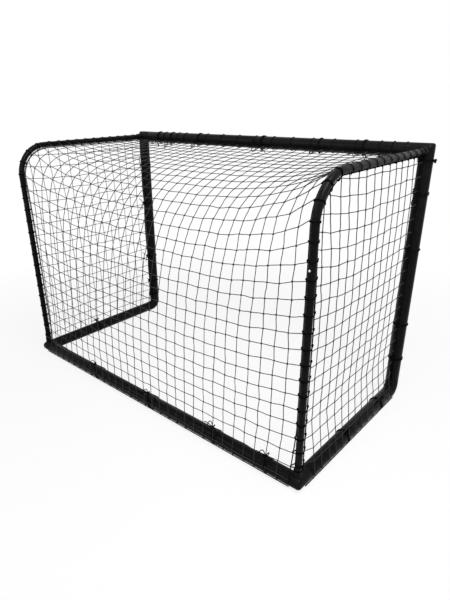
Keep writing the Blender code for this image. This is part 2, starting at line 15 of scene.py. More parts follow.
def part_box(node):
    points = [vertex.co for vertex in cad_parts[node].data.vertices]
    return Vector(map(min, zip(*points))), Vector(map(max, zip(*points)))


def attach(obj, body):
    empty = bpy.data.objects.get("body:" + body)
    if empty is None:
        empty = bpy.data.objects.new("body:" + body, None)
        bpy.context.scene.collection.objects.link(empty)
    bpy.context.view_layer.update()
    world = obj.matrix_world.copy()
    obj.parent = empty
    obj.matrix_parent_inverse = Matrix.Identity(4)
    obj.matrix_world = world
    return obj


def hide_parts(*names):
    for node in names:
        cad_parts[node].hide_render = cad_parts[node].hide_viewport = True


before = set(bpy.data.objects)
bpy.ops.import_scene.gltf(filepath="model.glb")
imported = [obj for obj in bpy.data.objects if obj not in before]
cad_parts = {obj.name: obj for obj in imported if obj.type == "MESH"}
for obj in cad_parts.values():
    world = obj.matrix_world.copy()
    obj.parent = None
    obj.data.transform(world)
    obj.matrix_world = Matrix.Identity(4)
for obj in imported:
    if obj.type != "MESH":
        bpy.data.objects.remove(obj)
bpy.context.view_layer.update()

bl_info = {
    "name": "Football Goal",
    "version": (1, 0, 0),
    "blender": (4, 5, 0),
    "location": "3D View > Sidebar > Goal",
    "description": "Builds a tube-frame football goal with a laced net round its packed frame",
    "category": "Add Mesh",
}

X, Y, Z = Vector((1, 0, 0)), Vector((0, 1, 0)), Vector((0, 0, 1))
SIDES = (("left", -1), ("right", 1))
# Ties that have solids: on the crossbar, and on each post
CROSSBAR_TIES, POST_TIES = 6, 4


# Sizes and places read from the frame

def middle(node, axis):
    """The middle of a solid's box along an axis."""
    low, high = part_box(node)
    return (low[axis] + high[axis]) / 2


def half_size(node, axis):
    """Half the size of a solid's box along an axis."""
    low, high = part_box(node)
    return (high[axis] - low[axis]) / 2


HALF_WIDTH = -middle("post_left", 0)
FRONT = middle("post_left", 1)
REAR = middle("rear_bar_left", 1)
TOP_Z = middle("crossbar_left", 2)
BASE_Z = middle("rear_bar_left", 2)
BAR_RADIUS = half_size("post_left", 0)
STAY_RADIUS = half_size("rear_upright_left", 0)
CORNER_ARM = TOP_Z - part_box("post_left")[1].z
ELBOW_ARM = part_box("post_left")[0].z - BASE_Z
COLLAR_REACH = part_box("top_corner_left")[1].y - FRONT
JOINT_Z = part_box("rear_upright_left")[1].z
BUTTON_Z = middle("snap_button_left", 2)
FLANGE_RADIUS = half_size("snap_button_left", 0)
BUTTON_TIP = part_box("snap_button_left")[1].y - REAR
BUTTON_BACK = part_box("snap_button_left")[0].y - REAR


# Sizes and colours that a user would change

def linear(hex_colour):
    """A colour written as sRGB hex, as the linear values that Blender works in."""
    parts = [int(hex_colour[start:start + 2], 16) / 255 for start in (1, 3, 5)]
    return tuple(part / 12.92 if part <= 0.04045 else ((part + 0.055) / 1.055) ** 2.4 for part in parts)


def colour_property(name, description, hex_colour):
    """A colour, given as sRGB hex."""
    return FloatVectorProperty(
        name=name, description=description, default=linear(hex_colour), size=3, min=0, max=1,
        subtype="COLOR")


def length_property(name, description, default, **limits):
    """A length in metres."""
    return FloatProperty(name=name, description=description, default=default, subtype="DISTANCE", **limits)


def share_property(name, description, default):
    """A share from 0 to 1."""
    return FloatProperty(
        name=name, description=description, default=default, min=0.0, max=1.0, subtype="FACTOR")


class FrameSizes(bpy.types.PropertyGroup):
    """Sizes that the frame doesn't show, as in the solids, and the rounding of edges."""
    wall: length_property("Tube wall", "Thickness of the steel tubes", 0.0015)
    fit_gap: length_property("Fit gap", "Clearance between pieces that push together", 0.0003)
    bend_radius: length_property("Roof bend", "Bend radius of the thin roof tube, at its axis", 0.150)
    plug_length: length_property("Plug length", "Length of the roof tube's reduced lower end", 0.080)
    collar_radius: length_property(
        "Collar radius", "Outer radius of the fittings' collar for the thin tube", 0.0175)
    socket_depth: length_property("Socket depth", "How far the thin tube goes into a collar", 0.045)
    elbow_bend: length_property("Elbow bend", "Bend radius of the foot elbow, at its axis", 0.038)
    spigot_length: length_property(
        "Spigot length", "Length of the fitting that goes into a thick tube", 0.070)
    spigot_wall: length_property("Spigot wall", "Wall of the moulded spigots", 0.0035)
    mitre_round: length_property(
        "Mitre round", "Radius of the corner fittings' outer mitre line", 0.010, min=0.0, max=0.012)
    rim_bevel: length_property("Rim bevel", "Rounding of tube ends and moulded rims", 0.0007)


class NetSizes(bpy.types.PropertyGroup):
    """Sizes of the nets and cords, and how far they hang out of true."""
    twine: length_property("Twine", "Diameter of the net's twine", 0.0031)
    cord: length_property("Border cord", "Diameter of the net's border cord", 0.0052)
    lacing: length_property("Lacing", "Diameter of the lacing", 0.0030)
    tie: length_property(
        "Tie cord", "Diameter of the cord of the knotted ties", 0.0042, min=0.001, max=0.008)
    lacing_pitch: length_property(
        "Lacing pitch", "Distance between turns of the lacing on the roof tubes", 0.056)
    mesh_across: length_property("Mesh across", "Pitch of the twine that runs up and down", 0.056)
    mesh_along: length_property("Mesh along", "Pitch of the twine that runs across", 0.0611)
    unevenness: length_property("Unevenness", "How far a knot may lie from its even place", 0.0032)
    scallop: length_property(
        "Scallops", "How far a border cord hangs away from its bar between two ties", 0.009)
    left_pull: share_property("Left pull", "How far the left side net is drawn out of square", 1.0)
    right_pull: share_property("Right pull", "How far the right side net is drawn out of square", 0.35)
    seed: IntProperty(name="Seed", description="Seed for the net's unevenness", default=7)


class Finishes(bpy.types.PropertyGroup):
    """Colours of the goal's materials and of the studio floor."""
    powder_coat: colour_property("Powder coat", "Colour of the coated steel tubes", "#080809")
    powder_coat_worn: colour_property("Worn coat", "Colour where the coat is rubbed or dusty", "#121213")
    moulding: colour_property("Moulding", "Colour of the moulded corner fittings", "#0c0c0d")
    twine: colour_property("Twine", "Colour of the net's twine", "#0e0e0f")
    # Painted highlight: the lighter colour painted on the crowns of the twine's plies
    twine_crown_highlight: colour_property("Painted twine highlight", "Lighter colour of the twine's raised plies", "#1a1a1b")
    plating: colour_property("Plating", "Colour of the plated snap button", "#d6d5d0")
    bare_steel: colour_property("Bare steel", "Colour of the uncoated inner steel", "#b4b2ad")
    floor: colour_property("Floor", "Colour of the studio floor", "#f2f2f1")


# Node helpers

def fill_inputs(tree, node, inputs):
    """Links each input that is given a socket, and sets each that is given a value."""
    for key, value in inputs.items():
        if isinstance(value, bpy.types.NodeSocket):
            tree.links.new(value, node.inputs[key])
        else:
            node.inputs[key].default_value = value


def add_node(tree, kind, inputs=None, **settings):
    """Adds a node with its settings and its inputs."""
    node = tree.nodes.new(kind)
    for name, value in settings.items():
        setattr(node, name, value)
    fill_inputs(tree, node, inputs or {})
    return node


def new_material(name):
    """An empty node material with its Principled shader; the caller fills in the rest."""
    material = bpy.data.materials.new(name)
    material.use_nodes = True
    return material, material.node_tree, material.node_tree.nodes["Principled BSDF"]


# Materials. Specular levels start from the usual 0.5 and come down until the black matches the object's.

# The Mix node's two colour inputs and its colour output
FIRST, SECOND, MIXED = 6, 7, 2
# Each kind of cord's plies turn once round it in this length
CORD_LAYS = {"net_twine": 0.008, "border_cord": 0.020, "lacing_cord": 0.009}
PLIES = 3.0


def powder_coated_steel(finishes):
    """Steel tube with a baked polyester powder coat: satin, with orange peel and faint rub marks."""
    # Orange peel has waves of about 1.2 mm; it is drawn at 3 mm, so that it shows
    peel_size = 0.003
    # Handling leaves dull patches about 60 mm across, with scuffs of about 12 mm in them
    patch_size, scuff_size = 0.060, 0.012
    material, tree, shader = new_material("powder_coated_steel")
    place = add_node(tree, "ShaderNodeTexCoord").outputs["Object"]
    peel = add_node(tree, "ShaderNodeTexNoise", {"Vector": place, "Scale": 1 / peel_size, "Detail": 2.0})
    patches = add_node(tree, "ShaderNodeTexNoise", {
        "Vector": place, "Scale": 1 / patch_size, "Detail": 6.0, "Roughness": 0.62})
    scuffs = add_node(tree, "ShaderNodeTexNoise", {
        "Vector": place, "Scale": 1 / scuff_size, "Detail": 8.0, "Roughness": 0.7})
    rub = add_node(tree, "ShaderNodeMath", {0: patches.outputs["Fac"], 1: scuffs.outputs["Fac"]},
                   operation="MULTIPLY").outputs[0]
    worn = add_node(tree, "ShaderNodeMapRange", {"Value": rub, "From Min": 0.22, "From Max": 0.46})
    colour = add_node(tree, "ShaderNodeMix", {
        "Factor": worn.outputs["Result"], FIRST: (*finishes.powder_coat, 1.0),
        SECOND: (*finishes.powder_coat_worn, 1.0)}, data_type="RGBA")
    rough = add_node(tree, "ShaderNodeMapRange", {
        "Value": rub, "From Min": 0.12, "From Max": 0.45, "To Min": 0.29, "To Max": 0.47})
    bump = add_node(tree, "ShaderNodeBump", {
        "Height": peel.outputs["Fac"], "Strength": 0.25, "Distance": 0.0003})
    fill_inputs(tree, shader, {
        "Base Color": colour.outputs[MIXED], "Roughness": rough.outputs["Result"],
        "Normal": bump.outputs["Normal"], "Specular IOR Level": 0.065})
    return material


def moulded_polypropylene(finishes):
    """Injection-moulded black polypropylene: an eroded, fine-grained face with dull, soft highlights."""
    # Spark-eroded grain is about 0.4 mm; it is drawn at 1.5 mm, so that it shows
    grain_size = 0.0015
    # The melt's flow clouds the face over about 25 mm
    flow_size = 0.025
    material, tree, shader = new_material("moulded_polypropylene")
    place = add_node(tree, "ShaderNodeTexCoord").outputs["Object"]
    grain = add_node(tree, "ShaderNodeTexVoronoi", {"Vector": place, "Scale": 1 / grain_size})
    flow = add_node(tree, "ShaderNodeTexNoise", {"Vector": place, "Scale": 1 / flow_size, "Detail": 5.0})
    cloud = flow.outputs["Fac"]
    worn = add_node(tree, "ShaderNodeMapRange", {"Value": cloud, "From Min": 0.3, "From Max": 0.75})
    colour = add_node(tree, "ShaderNodeMix", {
        "Factor": worn.outputs["Result"], FIRST: (*finishes.moulding, 1.0),
        SECOND: (*finishes.powder_coat_worn, 1.0)}, data_type="RGBA")
    rough = add_node(tree, "ShaderNodeMapRange", {
        "Value": cloud, "From Min": 0.3, "From Max": 0.7, "To Min": 0.42, "To Max": 0.54})
    bump = add_node(tree, "ShaderNodeBump", {
        "Height": grain.outputs["Distance"], "Strength": 0.2, "Distance": 0.0002})
    fill_inputs(tree, shader, {
        "Base Color": colour.outputs[MIXED], "Roughness": rough.outputs["Result"],
        "Normal": bump.outputs["Normal"], "Specular IOR Level": 0.055})
    return material


def twisted_twine(finishes, name, diameter):
    """Twisted polyethylene twine: a matt strand with a painted highlight, a lighter colour, on its plies'
    crowns.
    """
    material, tree, shader = new_material(name)
    uv = add_node(tree, "ShaderNodeUVMap", uv_map="UVMap").outputs["UV"]
    parts = add_node(tree, "ShaderNodeSeparateXYZ", {"Vector": uv})
    turns = add_node(tree, "ShaderNodeMath", {0: parts.outputs["Y"], 1: 1 / CORD_LAYS[name]},
                     operation="MULTIPLY")
    phase = add_node(tree, "ShaderNodeMath", {0: turns.outputs[0], 1: parts.outputs["X"]}, operation="ADD")
    wave = add_node(tree, "ShaderNodeMath", {0: phase.outputs[0], 1: PLIES * 2 * math.pi},
                    operation="MULTIPLY")
    ply = add_node(tree, "ShaderNodeMath", {0: wave.outputs[0]}, operation="SINE")
    height = add_node(tree, "ShaderNodeMapRange", {"Value": ply.outputs[0], "From Min": -1.0})
    crown = add_node(tree, "ShaderNodeMapRange", {
        "Value": height.outputs["Result"], "From Min": 0.35, "From Max": 0.95})
    # The plies' crowns take the lighter colour: a painted highlight
    colour = add_node(tree, "ShaderNodeMix", {
        "Factor": crown.outputs["Result"], FIRST: (*finishes.twine, 1.0),
        SECOND: (*finishes.twine_crown_highlight, 1.0)}, data_type="RGBA")
    bump = add_node(tree, "ShaderNodeBump", {
        "Height": height.outputs["Result"], "Strength": 0.6, "Distance": diameter * 0.12})
    fill_inputs(tree, shader, {
        "Base Color": colour.outputs[MIXED], "Normal": bump.outputs["Normal"], "Roughness": 0.72,
        "Specular IOR Level": 0.0})
    return material


def bright_steel(name, colour, roughness, brush):
    """Uncoated or plated steel: a clear metal with fine drawing lines along Z."""
    # Drawing lines are 0.2 mm apart; they are drawn at 0.6 mm, so that they show, and 20 times as long
    line_size, shortening = 0.0006, 0.05
    material, tree, shader = new_material(name)
    place = add_node(tree, "ShaderNodeTexCoord").outputs["Object"]
    drawn = add_node(tree, "ShaderNodeMapping", {"Vector": place, "Scale": (1.0, 1.0, shortening)})
    lines = add_node(tree, "ShaderNodeTexNoise", {
        "Vector": drawn.outputs["Vector"], "Scale": 1 / line_size, "Detail": 3.0})
    rough = add_node(tree, "ShaderNodeMapRange", {
        "Value": lines.outputs["Fac"], "To Min": roughness - brush, "To Max": roughness + brush})
    fill_inputs(tree, shader, {
        "Base Color": (*colour, 1.0), "Roughness": rough.outputs["Result"], "Metallic": 1.0})
    return material


def material_named(name):
    """One of the goal's materials, made the first time that it is asked for."""
    finishes, net = bpy.context.scene.goal_finishes, bpy.context.scene.goal_net
    makers = {
        "powder_coated_steel": lambda: powder_coated_steel(finishes),
        "moulded_polypropylene": lambda: moulded_polypropylene(finishes),
        "net_twine": lambda: twisted_twine(finishes, name, net.twine),
        "border_cord": lambda: twisted_twine(finishes, name, net.cord),
        "lacing_cord": lambda: twisted_twine(finishes, name, net.lacing),
        "zinc_plated_button": lambda: bright_steel(name, finishes.plating, 0.22, 0.06),
        "bare_drawn_steel": lambda: bright_steel(name, finishes.bare_steel, 0.34, 0.10),
    }
    return bpy.data.materials.get(name) or makers[name]()


# Mesh helpers

# Faces round a thick tube, round a thin one, and along a bend
BAR_STEPS = 64
STAY_STEPS = 40
BEND_STEPS = 28
# Points of a run nearer than this are one point, where its radius steps
SAME_POINT = 1e-7
# Edges sharper than this are softened
RIM_ANGLE = math.radians(40)


def in_scene(name, data):
    """A new object in the scene for a mesh, a light or a camera."""
    item = bpy.data.objects.new(name, data)
    bpy.context.scene.collection.objects.link(item)
    return item


def add_piece(name, mesh, material, smooth_angle=32.0):
    """Puts a mesh in the scene as a piece with one material and smooth round faces."""
    mesh.name = name
    mesh.materials.clear()
    mesh.materials.append(material)
    mesh.shade_smooth()
    mesh.set_sharp_from_angle(angle=math.radians(smooth_angle))
    return in_scene(name, mesh)


def finish_piece(piece, body, slot, *nodes):
    """Fixes a finished piece to its body, in place of the solids it stands for."""
    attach(piece, body)
    if nodes:
        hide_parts(*nodes)


def mesh_from(builder):
    """Ends a bmesh as a mesh whose faces point outwards."""
    bmesh.ops.recalc_face_normals(builder, faces=builder.faces)
    mesh = bpy.data.meshes.new("piece")
    builder.to_mesh(mesh)
    builder.free()
    return mesh


def baked(helper):
    """A helper object's mesh after its modifiers. The helper is removed, so nothing is left live."""
    depsgraph = bpy.context.evaluated_depsgraph_get()
    mesh = bpy.data.meshes.new_from_object(helper.evaluated_get(depsgraph))
    bpy.data.objects.remove(helper, do_unlink=True)
    if not mesh.polygons:
        raise RuntimeError("a piece came out of its modifiers with no faces")
    return mesh


def evaluated(mesh, kind, **settings):
    """A mesh after one modifier."""
    helper = in_scene("helper", mesh)
    modifier = helper.modifiers.new(kind.lower(), kind)
    for name, value in settings.items():
        setattr(modifier, name, value)
    return baked(helper)


def softened(mesh, width, segments=3):
    """A mesh with its rims and other sharp edges rounded."""
    return evaluated(mesh, "BEVEL", width=width, segments=segments, limit_method="ANGLE",
                     angle_limit=RIM_ANGLE)


def combined(mesh, tool, operation):
    """A mesh after a boolean operation with a tool's mesh."""
    cutter = in_scene("tool", tool)
    result = evaluated(mesh, "BOOLEAN", operation=operation, solver="EXACT", object=cutter)
    bpy.data.objects.remove(cutter, do_unlink=True)
    return result


def ring_at(centre, incoming, outgoing, side, radius, sides):
    """A ring of points round a path, on the plane that mitres the runs before and after."""
    mitre = (incoming + outgoing).normalized()
    other = incoming.cross(side)
    points = []
    for step in range(sides):
        angle = 2 * math.pi * step / sides
        offset = (side * math.cos(angle) + other * math.sin(angle)) * radius
        points.append(centre + offset - incoming * (offset.dot(mitre) / incoming.dot(mitre)))
    return points


def rings_along(path, side, sides):
    """Rings for a list of (point, radius), where a step in radius repeats its point."""
    points = [Vector(point) for point, _ in path]
    rings = []
    for index, (_, radius) in enumerate(path):
        here = points[index]
        before = next((here - point for point in reversed(points[:index])
                       if (here - point).length > SAME_POINT), None)
        after = next((point - here for point in points[index + 1:]
                      if (point - here).length > SAME_POINT), None)
        beside = points[max(index - 1, 0):index] + points[index + 1:index + 2]
        stepped = any((here - point).length < SAME_POINT for point in beside)
        incoming = (before or after).normalized()
        outgoing = incoming if stepped else (after or before).normalized()
        rings.append(ring_at(here, incoming, outgoing, side, radius, sides))
    return rings


def skin(builder, rings, closed):
    """Joins rings of points by faces, in a loop if closed, and returns each ring's vertices."""
    loops = [[builder.verts.new(point) for point in ring] for ring in rings]
    for lower, upper in zip(loops, loops[1:] + (loops[:1] if closed else [])):
        for index in range(len(lower)):
            following = (index + 1) % len(lower)
            builder.faces.new((lower[index], lower[following], upper[following], upper[index]))
    return loops


def shell_between(outer, inner, side, sides):
    """A closed wall between an outer and an inner run, each a list of (point, radius)."""
    builder = bmesh.new()
    skin(builder, rings_along(outer, side, sides) + rings_along(inner, side, sides)[::-1], closed=True)
    return mesh_from(builder)


def solid_along(path, side, sides):
    """A closed solid along a list of (point, radius)."""
    builder = bmesh.new()
    loops = skin(builder, rings_along(path, side, sides), closed=False)
    builder.faces.new(loops[0])
    builder.faces.new(loops[-1])
    return mesh_from(builder)


def quarter_arc(hub, start, end, radius, steps):
    """Points of a quarter turn round a hub, from the direction start to the direction end."""
    return [hub + (start * math.cos(step * math.pi / 2 / steps)
                   + end * math.sin(step * math.pi / 2 / steps)) * radius for step in range(steps + 1)]


def tube_mesh(start, end, radius, wall, sides, side, bevel):
    """A straight tube with softened ends."""
    outer = [(start, radius), (end, radius)]
    inner = [(start, radius - wall), (end, radius - wall)]
    return softened(shell_between(outer, inner, side, sides), bevel)


# Thick tubes

class GOAL_OT_thick_tubes(bpy.types.Operator):
    """Builds the eight thick tubes of the mouth frame and the base"""
    bl_idname = "goal.thick_tubes"
    bl_label = "Thick tubes"

    def execute(self, context):
        sizes = context.scene.goal_sizes
        for label, _ in SIDES:
            for name, axis, side in (("crossbar_", 0, Z), ("rear_bar_", 0, Z), ("post_", 2, Y),
                                     ("side_bar_", 1, Z)):
                low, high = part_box(name + label)
                start = (low + high) / 2
                end = start.copy()
                start[axis], end[axis] = low[axis], high[axis]
                mesh = tube_mesh(start, end, BAR_RADIUS, sizes.wall, BAR_STEPS, side, sizes.rim_bevel)
                piece = add_piece(name + label + "_coated", mesh, material_named("powder_coated_steel"))
                finish_piece(piece, "goal", "coated_steel", name + label)
        return {"FINISHED"}


# Thin tubes

# The thin tubes' rims are rounded by this share of the thick ones' rounding
THIN_RIM = 0.6
# The roof tube's bore narrows to its plug over this length
BORE_STEP = 0.006
# The button's pin, and the faces of the hole that is drilled for it
BUTTON_RADIUS = 0.004
DRILL_STEPS = 24


def with_button_hole(mesh, x, sizes):
    """A thin tube with the snap button's hole drilled through its rear wall."""
    start = Vector((x, REAR + STAY_RADIUS / 2, BUTTON_Z))
    radius = BUTTON_RADIUS + sizes.fit_gap
    drill = solid_along([(start, radius), (start + Y * STAY_RADIUS, radius)], Z, DRILL_STEPS)
    return combined(mesh, drill, "DIFFERENCE")


def roof_tube_mesh(label, x, sizes):
    """A roof tube: straight from its collar, then a bend, a straight drop and a reduced plug."""
    bore = STAY_RADIUS - sizes.wall
    plug = bore - sizes.fit_gap
    start = Vector((x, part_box("roof_tube_" + label)[0].y, TOP_Z))
    hub = Vector((x, REAR - sizes.bend_radius, TOP_Z - sizes.bend_radius))
    bend = quarter_arc(hub, Z, Y, sizes.bend_radius, BEND_STEPS)
    shoulder = Vector((x, REAR, JOINT_Z + sizes.fit_gap))
    tip = shoulder - Z * sizes.plug_length
    outer = [(point, STAY_RADIUS) for point in [start] + bend + [shoulder]]
    outer += [(shoulder, plug), (tip, plug)]
    inner = [(point, bore) for point in [start] + bend]
    inner += [(shoulder + Z * BORE_STEP, bore), (shoulder, plug - sizes.wall), (tip, plug - sizes.wall)]
    return softened(shell_between(outer, inner, X, STAY_STEPS), sizes.rim_bevel * THIN_RIM)


class GOAL_OT_thin_tubes(bpy.types.Operator):
    """Builds the two bent roof tubes and the two rear uprights"""
    bl_idname = "goal.thin_tubes"
    bl_label = "Thin tubes"

    def execute(self, context):
        sizes = context.scene.goal_sizes
        for label, sign in SIDES:
            x = sign * HALF_WIDTH
            low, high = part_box("rear_upright_" + label)
            upright = tube_mesh(Vector((x, REAR, low.z)), Vector((x, REAR, high.z)), STAY_RADIUS, sizes.wall,
                                STAY_STEPS, X, sizes.rim_bevel * THIN_RIM)
            for name, mesh in (("roof_tube_", roof_tube_mesh(label, x, sizes)), ("rear_upright_", upright)):
                piece = add_piece(name + label + "_coated", with_button_hole(mesh, x, sizes),
                                  material_named("powder_coated_steel"))
                finish_piece(piece, "goal", "coated_steel", name + label)
        return {"FINISHED"}


# Corner fittings

# Rounding of the fittings' other edges, and how many faces it has; the mitre's outer line has more
MOULD_ROUND = 0.0016
MOULD_SEGMENTS = 4
MITRE_SEGMENTS = 5
# How near the mitre's outer line an edge has to lie to be part of it
ON_LINE = 1e-5


def fitting_mesh(centre, arm_a, arm_b, reach, bend_radius, side, sizes):
    """A bent fitting with a spigot on each arm. A bend radius of 0 gives a plain mitre."""
    spigot = BAR_RADIUS - sizes.wall - sizes.fit_gap
    bore = spigot - sizes.spigot_wall
    tip_a = centre + arm_a * (reach + sizes.spigot_length)
    tip_b = centre + arm_b * (reach + sizes.spigot_length)
    rim_a, rim_b = centre + arm_a * reach, centre + arm_b * reach
    bend = [centre]
    if bend_radius:
        bend = quarter_arc(centre + (arm_a + arm_b) * bend_radius, -arm_b, -arm_a, bend_radius, BEND_STEPS)
    outer = [(tip_a, spigot), (rim_a, spigot), (rim_a, BAR_RADIUS)]
    outer += [(point, BAR_RADIUS) for point in bend]
    outer += [(rim_b, BAR_RADIUS), (rim_b, spigot), (tip_b, spigot)]
    inner = [(point, bore) for point in [tip_a] + bend + [tip_b]]
    return shell_between(outer, inner, side, BAR_STEPS)


def mitre_rounded(mesh, centre, arm_a, arm_b, radius):
    """A mitred fitting with the outer line of its mitre rounded."""
    builder = bmesh.new()
    builder.from_mesh(mesh)
    across = (arm_a - arm_b).normalized()

    def on_mitre(vert):
        place = vert.co - centre
        outer = abs((place - arm_a * place.dot(arm_a)).length - BAR_RADIUS) < ON_LINE
        return outer and abs(place.dot(across)) < ON_LINE

    line = [edge for edge in builder.edges if all(on_mitre(vert) for vert in edge.verts)]
    bmesh.ops.bevel(builder, geom=line, offset=radius, segments=MITRE_SEGMENTS, profile=0.5,
                    affect="EDGES", clamp_overlap=True)
    return mesh_from(builder)


def corner_mesh(centre, arm_a, arm_b, collar, sizes):
    """Two mitred arms and a collar with a blind socket, with every edge softened."""
    arms = fitting_mesh(centre, arm_a, arm_b, CORNER_ARM - sizes.fit_gap, 0.0, collar, sizes)
    arms = mitre_rounded(arms, centre, arm_a, arm_b, sizes.mitre_round)
    arms = softened(arms, MOULD_ROUND, MOULD_SEGMENTS)
    mouth = centre + collar * COLLAR_REACH
    root = centre - collar * STAY_RADIUS
    stub = solid_along([(root, sizes.collar_radius), (mouth, sizes.collar_radius)], arm_a, STAY_STEPS)
    socket = STAY_RADIUS + sizes.fit_gap
    bore = solid_along([(mouth - collar * sizes.socket_depth, socket), (mouth + collar * socket, socket)],
                       arm_a, STAY_STEPS)
    return combined(combined(arms, stub, "UNION"), bore, "DIFFERENCE")


class GOAL_OT_fittings(bpy.types.Operator):
    """Builds the four three-way corners and the two foot elbows"""
    bl_idname = "goal.fittings"
    bl_label = "Corner fittings"

    def execute(self, context):
        sizes = context.scene.goal_sizes
        plastic = material_named("moulded_polypropylene")
        for label, sign in SIDES:
            inward = X * -sign
            top = Vector((sign * HALF_WIDTH, FRONT, TOP_Z))
            rear = Vector((sign * HALF_WIDTH, REAR, BASE_Z))
            foot = Vector((sign * HALF_WIDTH, FRONT, BASE_Z))
            elbow = fitting_mesh(foot, Z, Y, ELBOW_ARM - sizes.fit_gap, sizes.elbow_bend, X, sizes)
            for node, mesh in (("top_corner_", corner_mesh(top, inward, -Z, Y, sizes)),
                               ("rear_corner_", corner_mesh(rear, inward, -Y, Z, sizes)),
                               ("foot_elbow_", softened(elbow, sizes.rim_bevel))):
                piece = add_piece(node + label + "_moulded", mesh, plastic)
                finish_piece(piece, "goal", "corner_moulding", node + label)
        return {"FINISHED"}


# Snap buttons and inner steel

# The button's tip is drawn in by its crown, along part of a quarter turn
CROWN = 0.0016
CROWN_TURN = math.radians(75)
CROWN_STEPS = 6
FLANGE_THICKNESS = 0.001
BUTTON_STEPS = 32
SLEEVE_WALL = 0.002


class GOAL_OT_snap_buttons(bpy.types.Operator):
    """Builds the two plated snap buttons"""
    bl_idname = "goal.snap_buttons"
    bl_label = "Snap buttons"

    def execute(self, context):
        for label, sign in SIDES:
            axis = Vector((sign * HALF_WIDTH, REAR, BUTTON_Z))
            back = axis + Y * BUTTON_BACK
            face = back + Y * FLANGE_THICKNESS
            run = [(back, FLANGE_RADIUS), (face, FLANGE_RADIUS), (face, BUTTON_RADIUS)]
            for step in range(CROWN_STEPS + 1):
                angle = step / CROWN_STEPS * CROWN_TURN
                reach = BUTTON_TIP - CROWN * (1 - math.sin(angle) / math.sin(CROWN_TURN))
                run.append((axis + Y * reach, BUTTON_RADIUS - CROWN * (1 - math.cos(angle))))
            piece = add_piece(f"snap_button_{label}_plated", solid_along(run, Z, BUTTON_STEPS),
                              material_named("zinc_plated_button"), smooth_angle=60.0)
            finish_piece(piece, "snap_button_" + label, "plated_button", "snap_button_" + label)
        return {"FINISHED"}


class GOAL_OT_inner_steel(bpy.types.Operator):
    """Finishes the leaf springs and builds the sleeves inside the long bars"""
    bl_idname = "goal.inner_steel"
    bl_label = "Inner steel"

    def execute(self, context):
        sizes = context.scene.goal_sizes
        steel = material_named("bare_drawn_steel")
        for label, _ in SIDES:
            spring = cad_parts["button_spring_" + label]
            spring.data.materials.clear()
            spring.data.materials.append(steel)
        for name in ("crossbar_sleeve", "rear_bar_sleeve"):
            low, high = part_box(name)
            centre = (low + high) / 2
            reach = X * (high.x - low.x) / 2
            mesh = tube_mesh(centre - reach, centre + reach, BAR_RADIUS - sizes.wall - sizes.fit_gap,
                             SLEEVE_WALL, BAR_STEPS, Z, sizes.rim_bevel)
            finish_piece(add_piece(name + "_drawn", mesh, steel), "goal", "spring_steel", name)
        return {"FINISHED"}


# Geometry node trees

# A cord's radius between its plies, as a share of its full radius
PLY_WAIST = 0.78
# Points in each turn of a cord's plies
POINTS_PER_TURN = 10
# How far a net's knots turn out of line, in radians, and how their sizes vary
KNOT_SPIN = 0.5
KNOT_VARIATION = 0.12


def new_tree(name, inputs):
    """An empty geometry tree with the inputs given as (name, socket kind, default)."""
    tree = bpy.data.node_groups.new(name, "GeometryNodeTree")
    tree.interface.new_socket("Geometry", in_out="INPUT", socket_type="NodeSocketGeometry")
    for label, kind, default in inputs:
        socket = tree.interface.new_socket(label, in_out="INPUT", socket_type=kind)
        if default is not None:
            socket.default_value = default
    tree.interface.new_socket("Geometry", in_out="OUTPUT", socket_type="NodeSocketGeometry")
    return tree, tree.nodes.new("NodeGroupInput").outputs, tree.nodes.new("NodeGroupOutput")


def add_lobes(tree, ring, lobes, waist):
    """Draws a round profile in between its lobes, so that a turned cord shows its plies."""
    around = add_node(tree, "GeometryNodeSplineParameter").outputs["Factor"]
    angle = add_node(tree, "ShaderNodeMath", {0: around, 1: lobes}, operation="MULTIPLY")
    wave = add_node(tree, "ShaderNodeMath", {0: angle.outputs[0], 1: 2 * math.pi}, operation="MULTIPLY")
    bulge = add_node(tree, "ShaderNodeMath", {0: wave.outputs[0]}, operation="COSINE")
    scale = add_node(tree, "ShaderNodeMapRange", {
        "Value": bulge.outputs[0], "From Min": -1.0, "To Min": waist, "To Max": 1.0})
    place = add_node(tree, "GeometryNodeInputPosition").outputs["Position"]
    shaped = add_node(tree, "ShaderNodeVectorMath", {0: place, "Scale": scale.outputs["Result"]},
                      operation="SCALE")
    return add_node(tree, "GeometryNodeSetPosition", {
        "Geometry": ring, "Position": shaped.outputs["Vector"]}).outputs["Geometry"]


def add_turns(tree, curves, lay):
    """Turns a cord's profile once round in each lay length."""
    step = add_node(tree, "ShaderNodeMath", {0: lay, 1: 1 / POINTS_PER_TURN}, operation="MULTIPLY")
    even = add_node(tree, "GeometryNodeResampleCurve", {"Curve": curves, "Length": step.outputs[0]},
                    mode="LENGTH")
    length = add_node(tree, "GeometryNodeSplineParameter").outputs["Length"]
    turns = add_node(tree, "ShaderNodeMath", {0: length, 1: lay}, operation="DIVIDE")
    tilt = add_node(tree, "ShaderNodeMath", {0: turns.outputs[0], 1: 2 * math.pi}, operation="MULTIPLY")
    return add_node(tree, "GeometryNodeSetCurveTilt", {
        "Curve": even.outputs["Curve"], "Tilt": tilt.outputs[0]}).outputs["Curve"]


